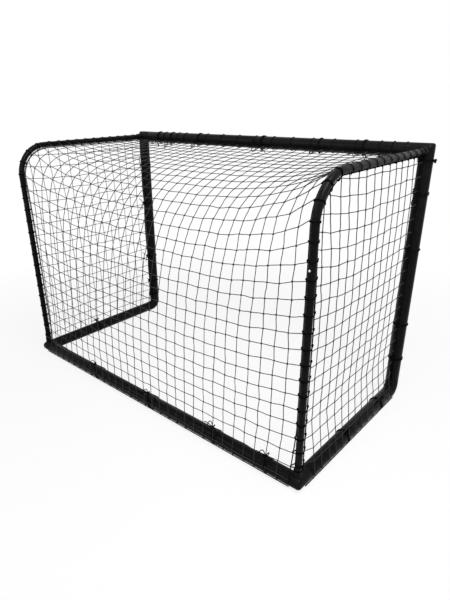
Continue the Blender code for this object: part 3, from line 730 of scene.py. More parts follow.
def add_strand(tree, curves, diameter, sides, shape=None):
    """Sweeps a strand along curves, with a UV map of its share around and its length along.

    Shape is a function that changes the strand's round profile.
    """
    length = add_node(tree, "GeometryNodeSplineParameter")
    marked = add_node(tree, "GeometryNodeCaptureAttribute", {"Geometry": curves}, domain="POINT")
    marked.capture_items.new("FLOAT", "Length")
    tree.links.new(length.outputs["Length"], marked.inputs["Length"])
    radius = add_node(tree, "ShaderNodeMath", {0: diameter, 1: 0.5}, operation="MULTIPLY")
    ring = add_node(tree, "GeometryNodeCurvePrimitiveCircle", {
        "Resolution": sides, "Radius": radius.outputs[0]}).outputs["Curve"]
    around = add_node(tree, "GeometryNodeSplineParameter")
    marked_ring = add_node(tree, "GeometryNodeCaptureAttribute", {
        "Geometry": shape(ring) if shape else ring}, domain="POINT")
    marked_ring.capture_items.new("FLOAT", "Around")
    tree.links.new(around.outputs["Factor"], marked_ring.inputs["Around"])
    swept = add_node(tree, "GeometryNodeCurveToMesh", {
        "Curve": marked.outputs["Geometry"], "Profile Curve": marked_ring.outputs["Geometry"],
        "Fill Caps": True})
    uv = add_node(tree, "ShaderNodeCombineXYZ", {
        "X": marked_ring.outputs["Around"], "Y": marked.outputs["Length"]})
    return add_node(tree, "GeometryNodeStoreNamedAttribute", {
        "Geometry": swept.outputs["Mesh"], "Name": "UVMap", "Value": uv.outputs["Vector"]},
        data_type="FLOAT2", domain="CORNER").outputs["Geometry"]


def finish_tree(tree, geometry, material, output):
    """Ends a tree with smooth shading, real geometry for every instance, and its material."""
    smooth = add_node(tree, "GeometryNodeSetShadeSmooth", {"Geometry": geometry})
    real = add_node(tree, "GeometryNodeRealizeInstances", {"Geometry": smooth.outputs["Geometry"]})
    painted = add_node(tree, "GeometryNodeSetMaterial", {
        "Geometry": real.outputs["Geometry"], "Material": material})
    tree.links.new(painted.outputs["Geometry"], output.inputs["Geometry"])


def laid_cord_tree():
    """Cord laid from plies, swept along the edges of a guide."""
    tree, given, output = new_tree("laid_cord", (
        ("Diameter", "NodeSocketFloat", 0.005), ("Sides", "NodeSocketInt", 9),
        ("Lobes", "NodeSocketFloat", PLIES), ("Lay", "NodeSocketFloat", 0.02),
        ("Material", "NodeSocketMaterial", None)))
    curves = add_node(tree, "GeometryNodeMeshToCurve", {"Mesh": given["Geometry"]}).outputs["Curve"]
    turned = add_turns(tree, curves, given["Lay"])
    strand = add_strand(tree, turned, given["Diameter"], given["Sides"],
                        lambda ring: add_lobes(tree, ring, given["Lobes"], PLY_WAIST))
    finish_tree(tree, strand, given["Material"], output)
    return tree


def knotted_net_tree():
    """Twine along a net's rows and columns, with a knot turned to the net's face at each crossing."""
    tree, given, output = new_tree("knotted_net", (
        ("Diameter", "NodeSocketFloat", 0.0026), ("Sides", "NodeSocketInt", 6),
        ("Knot", "NodeSocketObject", None), ("Seed", "NodeSocketInt", 0),
        ("Material", "NodeSocketMaterial", None)))
    curves = add_node(tree, "GeometryNodeMeshToCurve", {"Mesh": given["Geometry"]}).outputs["Curve"]
    strand = add_strand(tree, curves, given["Diameter"], given["Sides"])
    knot = add_node(tree, "GeometryNodeObjectInfo", {"Object": given["Knot"]})
    crossing = add_node(tree, "GeometryNodeInputNamedAttribute", {"Name": "crossing"}, data_type="BOOLEAN")
    outward = add_node(tree, "GeometryNodeInputNamedAttribute", {"Name": "outward"},
                       data_type="FLOAT_VECTOR")
    facing = add_node(tree, "FunctionNodeAlignRotationToVector", {"Vector": outward.outputs["Attribute"]},
                      axis="Z")
    spin = add_node(tree, "FunctionNodeRandomValue", {2: -KNOT_SPIN, 3: KNOT_SPIN, "Seed": given["Seed"]},
                    data_type="FLOAT")
    turn = add_node(tree, "FunctionNodeAxisAngleToRotation", {"Axis": Z, "Angle": spin.outputs[1]})
    turned = add_node(tree, "FunctionNodeRotateRotation", {
        "Rotation": facing.outputs["Rotation"], "Rotate By": turn.outputs["Rotation"]},
        rotation_space="LOCAL")
    size = add_node(tree, "FunctionNodeRandomValue", {
        2: 1 - KNOT_VARIATION, 3: 1 + KNOT_VARIATION, "Seed": given["Seed"]}, data_type="FLOAT")
    knots = add_node(tree, "GeometryNodeInstanceOnPoints", {
        "Points": given["Geometry"], "Selection": crossing.outputs["Attribute"],
        "Instance": knot.outputs["Geometry"], "Rotation": turned.outputs["Rotation"],
        "Scale": size.outputs[1]})
    joined = add_node(tree, "GeometryNodeJoinGeometry", {"Geometry": knots.outputs["Instances"]})
    tree.links.new(strand, joined.inputs["Geometry"])
    finish_tree(tree, joined.outputs["Geometry"], given["Material"], output)
    return tree


TREE_MAKERS = {"laid_cord": laid_cord_tree, "knotted_net": knotted_net_tree}


def guide_mesh(lines):
    """A mesh of edges only, one chain of points for each line."""
    points, edges = [], []
    for line in lines:
        first = len(points)
        points += [tuple(point) for point in line]
        edges += [(first + step, first + step + 1) for step in range(len(line) - 1)]
    mesh = bpy.data.meshes.new("guide")
    mesh.from_pydata(points, edges, [])
    return mesh


def grown(name, guide, tree_name, values):
    """Runs a node tree on a guide mesh and keeps the result as a plain mesh piece."""
    tree = bpy.data.node_groups.get(tree_name) or TREE_MAKERS[tree_name]()
    helper = in_scene("helper", guide)
    modifier = helper.modifiers.new("nodes", "NODES")
    modifier.node_group = tree
    for item in tree.interface.items_tree:
        if item.in_out == "INPUT" and item.name in values:
            modifier[item.identifier] = values[item.name]
    mesh = baked(helper)
    mesh.name = name
    return in_scene(name, mesh)


# How many sides each kind of cord's profile has
CORD_SIDES = {"border_cord": 9, "lacing_cord": 6}


def cord_piece(name, lines, diameter, kind, *nodes):
    """A laid cord along each line, finished in place of the solids that it stands for."""
    piece = grown(name, guide_mesh(lines), "laid_cord", {
        "Diameter": diameter, "Sides": CORD_SIDES[kind], "Lobes": PLIES, "Lay": CORD_LAYS[kind],
        "Material": material_named(kind)})
    finish_piece(piece, "goal", "net_twine", *nodes)


# The net's shape

# The angle at which a border cord seats on a bar, above the rearward or outward direction
HEAD_ANGLE = math.radians(-25.0)
FOOT_ANGLE = math.radians(-35.0)
# The gap between a cord and what it lies on
SEAT = 0.0005
# The roof and back net's middle hangs on a cubic: its handles' lengths, the head's slope, and how far the
# foot's handle stands behind the rear bar
SAG_HEAD_HANDLE = 0.658
SAG_HEAD_ANGLE = math.radians(-8.25)
SAG_FOOT_HANDLE = 1.090
SAG_FOOT_BEHIND = 0.030
# The sheet leaves its edges' line more steeply with a higher power
SAG_POWER = 3
SAG_STEPS = 60
NET_BEND_STEPS = 16
# The net's edge leaves the upright for the rear bar at this height
EDGE_LEAN_HEIGHT = 0.260
# The net's edge makes room for the thicker collars over this length
COLLAR_TAPER_LENGTH = 0.170
# The net's first row of meshes below the crossbar is this share of a full one
FIRST_MESH = 0.78
# How far the rows rise beside the bends, where the lacing draws them up, how near the edge, and over what
# share of the net's length
EDGE_LIFT = 0.022
EDGE_LIFT_WIDTH = 0.07
EDGE_LIFT_SPREAD = 0.1
# The border cord rides up on the roof tubes just before their bends, pulled by the lacing: how far, how
# near the edge, at what share of the net's length, and over what share of it
EDGE_RAISE = 0.007
EDGE_RAISE_WIDTH = 0.035
EDGE_RAISE_SHARE = 0.30
EDGE_RAISE_SPREAD = 0.07
# Scallops have their full depth in spans of this length, and fade out over this many rows of meshes
FULL_SCALLOP_SPAN = 0.3
SCALLOP_ROWS = 2
# A side net spreads outwards below this height, to pass over the side bar, and over this length at its ends
SIDE_SPREAD_HEIGHT = 0.257
SIDE_SPREAD_LENGTH = 0.056
# Added to the net's seed, so that each part of it is uneven in its own way
SIDE_SEED, SIDE_KNOT_SEED, LACING_SEED, TIE_SEED = 20, 40, 60, 90
# Points along the border cords: on the roof tubes, the bars, the side nets' front and top, and their rear
EDGE_STEPS = 120
BAR_CORD_STEPS = 90
SIDE_STEPS = 60
SIDE_REAR_STEPS = 50
SIDE_BEND_STEPS = 24
# Points of a net's twine round a bar
WRAP_STEPS = 4


class Route:
    """A line through points that can be read by its share of length."""

    def __init__(self, points):
        self.points = [Vector(point) for point in points]
        self.marks = [0.0]
        for before, after in zip(self.points, self.points[1:]):
            self.marks.append(self.marks[-1] + (after - before).length)

    def at(self, share):
        """The point at a share of the line's length."""
        target = share * self.marks[-1]
        index = 1
        while index < len(self.marks) - 1 and self.marks[index] < target:
            index += 1
        start, end = self.marks[index - 1], self.marks[index]
        return self.points[index - 1].lerp(self.points[index], (target - start) / (end - start))


def beside_bar(y, z, angle, standoff):
    """A point beside a bar that runs along X, at an angle above the rearward direction."""
    return Vector((0, y + math.cos(angle) * standoff, z + math.sin(angle) * standoff))


def cubic(start, start_handle, end_handle, end, steps):
    """Points of a cubic Bezier curve."""
    points = []
    for step in range(steps + 1):
        t = step / steps
        points.append(start * (1 - t) ** 3 + start_handle * (3 * t * (1 - t) ** 2)
                      + end_handle * (3 * t * t * (1 - t)) + end * t ** 3)
    return points


def scallop(place, stops, depth):
    """How far a cord hangs away between the stops that hold it, deeper in a longer span."""
    for first, second in zip(stops, stops[1:]):
        if first <= place <= second:
            share = (place - first) / (second - first)
            return depth * 4 * share * (1 - share) * min(1.0, (second - first) / FULL_SCALLOP_SPAN)
    return 0.0


def read_table(table, key):
    """The value at a key of a rising table of (key, value) pairs, with straight lines between them."""
    for (first, low), (second, high) in zip(table, table[1:]):
        if key <= second:
            return low + (high - low) * max(0.0, (key - first) / (second - first))
    return table[-1][1]


class Hammock:
    """The sheet that the roof and back net hangs in, read by shares across and along it."""

    def __init__(self, sizes, net):
        self.bar_standoff = BAR_RADIUS + net.cord / 2 + SEAT
        self.edge_x = HALF_WIDTH - STAY_RADIUS - net.cord / 2 - SEAT
        self.collar_step = sizes.collar_radius - STAY_RADIUS
        head = beside_bar(FRONT, TOP_Z, HEAD_ANGLE, self.bar_standoff)
        foot = beside_bar(REAR, BASE_Z, 0.0, self.bar_standoff)
        hub = Vector((0, REAR - sizes.bend_radius, TOP_Z - sizes.bend_radius))
        bend = quarter_arc(hub, Z, Y, sizes.bend_radius, NET_BEND_STEPS)
        self.edge = Route([head] + bend + [Vector((0, REAR, EDGE_LEAN_HEIGHT)), foot])
        head_handle = head + Vector((0, SAG_HEAD_HANDLE, SAG_HEAD_HANDLE * math.tan(SAG_HEAD_ANGLE)))
        foot_handle = Vector((0, REAR + SAG_FOOT_BEHIND, BASE_Z + SAG_FOOT_HANDLE))
        self.middle = Route(cubic(head, head_handle, foot_handle, foot, SAG_STEPS))
        self.columns = round(2 * self.edge_x / net.mesh_across)
        self.rows = round(self.edge.marks[-1] / net.mesh_along)
        self.bend_share = (self.edge.marks[1] + self.edge.marks[-3]) / 2 / self.edge.marks[-1]
        self.scallop = net.scallop
        ends = HALF_WIDTH - CORNER_ARM
        ties = sorted(middle(f"crossbar_tie_{number}", 0) for number in range(1, CROSSBAR_TIES + 1))
        self.stops = [-ends] + ties + [ends]

    def share(self, row):
        """How far along the sheet a row of knots lies; the row past the last is the end of the sheet."""
        return 0.0 if row == 0 else min(1.0, (row - 1 + FIRST_MESH) / self.rows)

    def row_past(self, node, axis, sign):
        """The first row whose edge has gone past the upper limit of a solid panel, rising or falling."""
        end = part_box(node)[1][axis] * sign
        return next(row for row in range(1, self.rows) if self.edge.at(self.share(row))[axis] * sign > end)

    def point(self, across, along):
        """A point of the sheet, between its sagging middle and its edges on the tubes."""
        length = self.edge.marks[-1]
        slack = 1 - abs(1 - 2 * across) ** SAG_POWER
        x = (2 * across - 1) * self.edge_x
        to_edge = min(across, 1 - across) * 2 * self.edge_x
        hang = scallop(x, self.stops, self.scallop) / length * max(0.0, 1 - along * self.rows / SCALLOP_ROWS)
        beside_bend = math.exp(-((along - self.bend_share) / EDGE_LIFT_SPREAD) ** 2)
        lift = EDGE_LIFT / length * math.exp(-(to_edge / EDGE_LIFT_WIDTH) ** 2) * beside_bend
        place = along + hang - lift
        point = self.edge.at(place).lerp(self.middle.at(place), slack)
        nearness = max(0.0, 1 - min(along, 1 - along) * length / COLLAR_TAPER_LENGTH)
        point.x = (2 * across - 1) * (self.edge_x - nearness * self.collar_step)
        before_bend = math.exp(-((along - EDGE_RAISE_SHARE) / EDGE_RAISE_SPREAD) ** 2)
        point.z += EDGE_RAISE * math.exp(-(to_edge / EDGE_RAISE_WIDTH) ** 2) * before_bend
        return point

    def outward(self, across, along):
        """The direction that the sheet faces at a point, from two short chords through it."""
        step = 0.01
        side = self.point(min(across + step, 1), along) - self.point(max(across - step, 0), along)
        down = self.point(across, min(along + step, 1)) - self.point(across, max(along - step, 0))
        return side.cross(down).normalized()


# Stretches of twine between two knots, how far it wanders there as a share of its diameter, and its sides
TWINE_STEPS = 3
TWINE_WANDER = 0.3
TWINE_SIDES = 6
# A net's knot: its points and sides, its size and its cord as shares of the twine, and its trefoil's loops
# and depth
KNOT_STEPS, KNOT_SIDES = 15, 4
KNOT_SIZE, KNOT_THICKNESS = 0.37, 0.50
KNOT_LOOPS, KNOT_DEPTH = 1.7, 0.9


def between_knots(knots, facings, chance):
    """Twine through a run of knots, with a little wander between them.

    Returns its points, the outward direction at each, and whether each is a knot.
    """
    wander = bpy.context.scene.goal_net.twine * TWINE_WANDER
    points, outward, crossing = [], [], []
    for index, (knot, facing) in enumerate(zip(knots, facings)):
        points.append(knot)
        outward.append(facing)
        crossing.append(True)
        if index == len(knots) - 1:
            break
        for step in range(1, TWINE_STEPS):
            shift = Vector((chance.uniform(-1, 1), chance.uniform(-1, 1), chance.uniform(-1, 1))) * wander
            points.append(knot.lerp(knots[index + 1], step / TWINE_STEPS) + shift)
            outward.append(facing)
            crossing.append(False)
    return points, outward, crossing


def net_piece(name, runs, knot, seed, node):
    """A knotted net from runs of (points, outward directions, crossing flags), in place of a solid."""
    guide = guide_mesh([points for points, _, _ in runs])
    outward = guide.attributes.new("outward", "FLOAT_VECTOR", "POINT")
    crossing = guide.attributes.new("crossing", "BOOLEAN", "POINT")
    facings = [facing for _, ways, _ in runs for facing in ways]
    outward.data.foreach_set("vector", [value for facing in facings for value in facing])
    crossing.data.foreach_set("value", [flag for _, _, flags in runs for flag in flags])
    piece = grown(name, guide, "knotted_net", {
        "Diameter": bpy.context.scene.goal_net.twine, "Sides": TWINE_SIDES, "Knot": knot, "Seed": seed,
        "Material": material_named("net_twine")})
    finish_piece(piece, "goal", "net_twine", node)


def trefoil(turned, loops, depth):
    """The coordinates of a point on an overhand knot's curve, by its angle."""
    return (math.sin(turned) + loops * math.sin(2 * turned),
            math.cos(turned) - loops * math.cos(2 * turned), -depth * math.sin(3 * turned))


def make_knot(twine):
    """A small overhand lump of twine that lies in the XY plane; it is copied to every crossing."""
    path = [Vector(trefoil(2 * math.pi * step / KNOT_STEPS, KNOT_LOOPS, KNOT_DEPTH)) * twine * KNOT_SIZE
            for step in range(KNOT_STEPS)]
    corners = [2 * math.pi * corner / KNOT_SIDES for corner in range(KNOT_SIDES)]
    rings = []
    for index, point in enumerate(path):
        ahead = (path[(index + 1) % KNOT_STEPS] - path[index - 1]).normalized()
        side = (Z - ahead * Z.dot(ahead)).normalized()
        other = ahead.cross(side)
        rings.append([point + (side * math.cos(corner) + other * math.sin(corner)) * twine * KNOT_THICKNESS
                      for corner in corners])
    builder = bmesh.new()
    skin(builder, rings, closed=True)
    return in_scene("knot", mesh_from(builder))


def knot_grid(sheet, net, chance):
    """The places of a sheet's knots and the directions that they face, row by row.

    The first row is the border cord on the crossbar, and the last is the sheet's lower end.
    """
    places, facings = [], []
    foot_row = sheet.rows + 1
    for row in range(foot_row + 1):
        along = sheet.share(row)
        places.append([])
        facings.append([])
        for column in range(sheet.columns + 1):
            across = column / sheet.columns
            facing = sheet.outward(across, along)
            place = sheet.point(across, along)
            if 0 < row < foot_row and 0 < column < sheet.columns:
                sideways = X * chance.uniform(-1, 1)
                downward = facing.cross(X).normalized() * chance.uniform(-1, 1)
                place += (sideways + downward) * net.unevenness
            places[row].append(place)
            facings[row].append(facing)
    return places, facings


def panel_runs(sheet, places, facings, first, last, chance):
    """The twine between two rows of a sheet. The last panel's columns end round the rear bar."""
    foot_row = sheet.rows + 1
    runs = [between_knots(places[row], facings[row], chance)
            for row in range(first + 1, min(last + 1, foot_row))]
    for column in range(1, sheet.columns):
        knots = [places[row][column] for row in range(first, last + 1)]
        ways = [facings[row][column] for row in range(first, last + 1)]
        points, outward, _ = between_knots(knots, ways, chance)
        if last == foot_row:
            for step in range(1, WRAP_STEPS + 1):
                wrap = beside_bar(REAR, BASE_Z, FOOT_ANGLE * step / WRAP_STEPS, sheet.bar_standoff)
                points.append(wrap + X * points[-1].x)
                outward.append(Y)
        # The rows already have the knots, but for the ones on the rear bar
        runs.append((points, outward, [False] * (len(points) - 1) + [last == foot_row]))
    return runs


class GOAL_OT_roof_and_back_net(bpy.types.Operator):
    """Builds the net that runs from the crossbar over the roof and down the back"""
    bl_idname = "goal.roof_and_back_net"
    bl_label = "Roof and back net"

    def execute(self, context):
        net = context.scene.goal_net
        chance = random.Random(net.seed)
        sheet = Hammock(context.scene.goal_sizes, net)
        places, facings = knot_grid(sheet, net, chance)
        knot = make_knot(net.twine)
        breaks = (0, sheet.row_past("net_roof", 1, 1), sheet.row_past("net_back", 2, -1), sheet.rows + 1)
        for index, name in enumerate(("roof", "shoulder", "back")):
            runs = panel_runs(sheet, places, facings, breaks[index], breaks[index + 1], chance)
            net_piece(f"{name}_net_twine", runs, knot, net.seed + index, "net_" + name)
        bpy.data.objects.remove(knot, do_unlink=True)
        left, right = ([sheet.point(across, step / EDGE_STEPS) for step in range(EDGE_STEPS + 1)]
                       for across in (0.0, 1.0))
        head = [sheet.point(step / BAR_CORD_STEPS, 0.0) for step in range(BAR_CORD_STEPS + 1)]
        corner = right[-1].x
        foot = [beside_bar(REAR, BASE_Z, FOOT_ANGLE, sheet.bar_standoff)
                + X * (-corner + 2 * corner * step / BAR_CORD_STEPS) for step in range(BAR_CORD_STEPS + 1)]
        cord_piece("roof_and_back_border_cord", [left, head, right, foot], net.cord, "border_cord")
        return {"FINISHED"}


# How far the side net's columns lean to the rear at their top, by the share of the way from rear to front
SIDE_LEAN = ((0.0, 0.060), (0.15, 0.065), (0.45, 0.042), (0.70, 0.031), (0.92, 0.038), (1.0, 0.0))
# The lean starts at this height
SIDE_LEAN_FROM = 0.615
# The side net's first row of knots lies this far above its foot
SIDE_FIRST_ROW = 0.028
# The side net's rows rise by this much more for each mesh at the rear than at the front, which fades out
# over this share of the way
SIDE_ROW_RISE = 0.0035
SIDE_RISE_SHARE = 0.5
# How far the border cord is drawn towards the straight line across its bend, at full pull
BEND_DRAW = 0.3
# How far it stands off the upright at full pull, reached this far below the bend
REAR_SLACK = 0.018
REAR_SLACK_RUN = 0.4
# It keeps clear of the collar until this far past its end, and then comes up to the roof tube
PAST_COLLAR = 0.02
# A knot nearer to the border cord than this share of a mesh is left out
EDGE_MARGIN = 0.2


class SideSheet:
    """A side net in its own plane: a border cord with some slack, and the knots that it draws along."""

    def __init__(self, label, sign, sizes, net):
        half_cord = net.cord / 2 + SEAT
        self.x, self.sign = sign * HALF_WIDTH, sign
        self.pull = net.left_pull if label == "left" else net.right_pull
        self.standoff = BAR_RADIUS + half_cord
        self.front, self.low = FRONT + self.standoff, BASE_Z + self.standoff
        self.rear = REAR - STAY_RADIUS - half_cord
        self.top = TOP_Z - STAY_RADIUS - half_cord
        self.collar_step = sizes.collar_radius - STAY_RADIUS
        self.inner_bend = sizes.bend_radius - STAY_RADIUS - half_cord
        self.hub = Vector((self.x, self.rear - self.inner_bend, self.top - self.inner_bend))
        self.columns = round((self.rear - self.front) / net.mesh_across)
        self.rows = round((self.top - self.low) / net.mesh_along)
        self.mesh_along, self.scallop = net.mesh_along, net.scallop
        ties = sorted(middle(f"post_tie_{label}_{number}", 2) for number in range(1, POST_TIES + 1))
        self.stops = [self.low] + ties + [self.top]
        chord = self.bend_line(NET_BEND_STEPS)
        self.upper = [(point.y, point.z) for point in chord]
        self.rearward = [(point.z, point.y) for point in reversed(chord)]

    def bend_line(self, steps):
        """The border cord through the bend, drawn part of the way to the straight line across it."""
        arc = quarter_arc(self.hub, Z, Y, self.inner_bend, steps)
        return [point.lerp(arc[0].lerp(arc[-1], step / steps), BEND_DRAW * self.pull)
                for step, point in enumerate(arc)]

    def front_at(self, z):
        """The front border cord's Y at a height: it hangs in scallops between its ties."""
        return self.front + scallop(z, self.stops, self.scallop)

    def top_at(self, y):
        """The upper border cord's height: it passes under the collar, then close to the tube."""
        if y > self.hub.y:
            return read_table(self.upper, y)
        past_collar = (y - self.front) / (COLLAR_REACH + PAST_COLLAR - self.standoff)
        return self.top - self.collar_step * max(0.0, min(1.0, 2 - past_collar))

    def rear_at(self, z):
        """The rear border cord's Y at a height: it stands off the upright as it goes down."""
        if z > self.hub.z:
            return read_table(self.rearward, z)
        down = min(1.0, (self.hub.z - z) / REAR_SLACK_RUN)
        return self.rear - REAR_SLACK * self.pull * down * (2 - down)

    def side_offset(self, y, z):
        """How far the net stands outwards, to pass over the side bar."""
        spread = max(0.0, min(1.0, (SIDE_SPREAD_HEIGHT - z) / (SIDE_SPREAD_HEIGHT - BASE_Z)))
        from_ends = min(1.0, min(y - self.front, self.rear - y) / SIDE_SPREAD_LENGTH)
        return self.sign * self.standoff * spread * max(0.0, from_ends)

    def on_bar(self, angle, y):
        """A point beside the side bar, at an angle above the outward direction."""
        return Vector((self.x + self.sign * self.standoff * math.cos(angle), y,
                       BASE_Z + self.standoff * math.sin(angle)))

    def height(self, row, share):
        """A row's height, by the share of the way from the rear cord to the front one."""
        near_rear = max(0.0, 1 - share / SIDE_RISE_SHARE) ** 2 * self.pull
        pitch = self.mesh_along - SIDE_ROW_RISE * self.pull + SIDE_ROW_RISE * near_rear
        return self.low + SIDE_FIRST_ROW + pitch * row

    def knot(self, row, column):
        """A knot's place, before it is made uneven."""
        share = 1 - column / self.columns
        z = self.height(row, share)
        rise = max(0.0, (z - SIDE_LEAN_FROM) / (self.top - SIDE_LEAN_FROM))
        lean = read_table(SIDE_LEAN, share) * self.pull * rise ** 2
        return Vector((self.x, self.front + (self.rear - self.front) * (1 - share) + lean, z))


def side_knots(sheet, net, chance):
    """The places of a side net's knots by row and column, but for those past its border cord."""
    margin = net.mesh_across * EDGE_MARGIN
    places = {}
    for row in range(sheet.rows + 1):
        for column in range(1, sheet.columns):
            spot = sheet.knot(row, column)
            spot += Vector((0, chance.uniform(-1, 1), chance.uniform(-1, 1))) * net.unevenness
            if spot.z < sheet.top_at(spot.y) - margin and spot.y < sheet.rear_at(spot.z) - margin:
                spot.x += sheet.side_offset(spot.y, spot.z)
                places[row, column] = spot
    return places


def side_runs(sheet, places, chance):
    """The twine of a side net. Its columns start round the side bar."""
    outward = X * sheet.sign
    runs = []
    for row in range(sheet.rows + 1):
        knots = [places[row, column] for column in range(1, sheet.columns) if (row, column) in places]
        if not knots:
            continue
        front_z = min(sheet.height(row, 1.0), sheet.top)
        # The last stretch of a row or column goes on half as steeply as the one before it
        rear_z = knots[-1].z + (sheet.height(row, 0.0) - sheet.height(row, 1 / sheet.columns)) / 2
        front = Vector((sheet.x, sheet.front_at(front_z), front_z))
        rear = Vector((sheet.x, sheet.rear_at(rear_z), rear_z))
        knots = [front] + knots + [rear]
        runs.append(between_knots(knots, [outward] * len(knots), chance))
    for column in range(1, sheet.columns):
        knots = [places[row, column] for row in range(sheet.rows + 1) if (row, column) in places]
        y = knots[-1].y + (knots[-1].y - knots[-2].y) / 2
        knots.append(Vector((sheet.x, y, sheet.top_at(y))))
        points, ways, _ = between_knots(knots, [outward] * len(knots), chance)
        wrap = [sheet.on_bar(FOOT_ANGLE * (WRAP_STEPS - step) / WRAP_STEPS, knots[0].y)
                for step in range(WRAP_STEPS + 1)]
        # The rows already have the knots, but for the one on the side bar
        flags = [True] + [False] * (len(wrap) + len(points) - 1)
        runs.append((wrap + points, [outward] * len(wrap) + ways, flags))
    return runs


def side_border(sheet, sizes, net):
    """A side net's border cord: up the post, along the roof tube, down the upright, and along the foot."""
    above_elbow = BASE_Z + sizes.elbow_bend + net.cord / 2 + SEAT
    border = []
    for step in range(SIDE_STEPS):
        z = above_elbow + (sheet.top - above_elbow) * step / SIDE_STEPS
        border.append(Vector((sheet.x, sheet.front_at(z), z)))
    for step in range(SIDE_STEPS):
        y = sheet.front + (sheet.hub.y - sheet.front) * step / SIDE_STEPS
        border.append(Vector((sheet.x, y, sheet.top_at(y))))
    border += sheet.bend_line(SIDE_BEND_STEPS)
    for step in range(1, SIDE_REAR_STEPS + 1):
        z = sheet.hub.z + (sheet.low - sheet.hub.z) * step / SIDE_REAR_STEPS
        border.append(Vector((sheet.x, sheet.rear_at(z), z)))
    foot = [sheet.on_bar(FOOT_ANGLE, sheet.front + (sheet.rear - sheet.front) * step / SIDE_REAR_STEPS)
            for step in range(SIDE_REAR_STEPS + 1)]
    return [border, foot]


class GOAL_OT_side_nets(bpy.types.Operator):
    """Builds the two side nets with their border cords"""
    bl_idname = "goal.side_nets"
    bl_label = "Side nets"

    def execute(self, context):
        sizes, net = context.scene.goal_sizes, context.scene.goal_net
        knot = make_knot(net.twine)
        for label, sign in SIDES:
            chance = random.Random(net.seed + SIDE_SEED + sign)
            sheet = SideSheet(label, sign, sizes, net)
            runs = side_runs(sheet, side_knots(sheet, net, chance), chance)
            net_piece(f"side_net_{label}_twine", runs, knot, net.seed + SIDE_KNOT_SEED + sign,
                      "net_side_" + label)
            cord_piece(f"side_border_cord_{label}", side_border(sheet, sizes, net), net.cord, "border_cord")
        bpy.data.objects.remove(knot, do_unlink=True)
        return {"FINISHED"}


# Lacing and ties

# A lashed cord's middle lies this share of its diameter off what it holds
LASH_OFFSET = 0.55
# A stretch of cord further than this from a place on a tube belongs to another part of it
NEAR = 0.2
# Points in a turn of the lacing
TURN_STEPS = 24
# Points in the straight run between two hitches
RUN_STEPS = 6
# Hitches have two turns, this many diameters apart
HITCH_TURNS = 2
HITCH_RISE = 1.1
# The first hitch comes this share of a mesh below the start of the bend
FIRST_HITCH = 0.6
# The lacing starts this far past the collar, and ends this far above the net's foot
LACING_START = 0.012
LACING_END = 0.02
# Points of the tube's own line through its bend
AXIS_BEND_STEPS = 40
# The tube's direction is taken over this share of its laced length, both ways
DIRECTION_REACH = 0.002
# Points of the border cords that the lacing takes in: the roof net's, and the side net's on the roof tube
ROOF_CORD_STEPS = 200
SIDE_CORD_STEPS = 30
# On the upright they are this far apart, and go down this far from the bend
SIDE_CORD_PITCH = 0.02
SIDE_CORD_DROP = 0.94
# On the crossbar the lacing starts this share of a mesh from its end, and takes a turn at every mesh or
# every second one
CROSSBAR_FIRST = 0.4
CROSSBAR_MESHES = (1, 2, 2)
# Its turns all rise by one number of diameters between these
CROSSBAR_RISE = (2, 4)


class Lashing:
    """A cord drawn tight round several round things, read by its angle in their common plane."""

    def __init__(self, across, up, rounds, cord):
        self.across, self.up, self.rounds, self.cord = across, up, rounds, cord

    def point(self, angle):
        """The cord's middle at an angle: rounds are (place across, place up, radius)."""
        way = Vector((math.cos(angle), math.sin(angle)))
        place, radius = max(((Vector(spot[:2]), spot[2]) for spot in self.rounds),
                            key=lambda held: held[0].dot(way) + held[1])
        reach = place + way * (radius + self.cord * LASH_OFFSET)
        return self.across * reach.x + self.up * reach.y


def stand_off(route, centre, along, inward):
    """How far a route lies from a tube's axis, measured inwards at right angles to the tube."""
    for before, after in zip(route, route[1:]):
        start, end = (before - centre).dot(along), (after - centre).dot(along)
        if start <= 0 < end and (before - centre).length < NEAR:
            return (before.lerp(after, -start / (end - start)) - centre).dot(inward)
    return None


def hitched(spots, turns, rise, base):
    """Stations (place, angle) of a cord that runs straight and takes whole turns at each spot."""
    stations = []
    for index, spot in enumerate(spots):
        for step in range(turns * TURN_STEPS + 1):
            turned = step / TURN_STEPS
            stations.append((spot + rise * (turned - turns / 2), base + 2 * math.pi * turned))
        if index < len(spots) - 1:
            run = spots[index + 1] - spot
            stations += [(spot + run * step / RUN_STEPS, base) for step in range(1, RUN_STEPS)]
    return stations


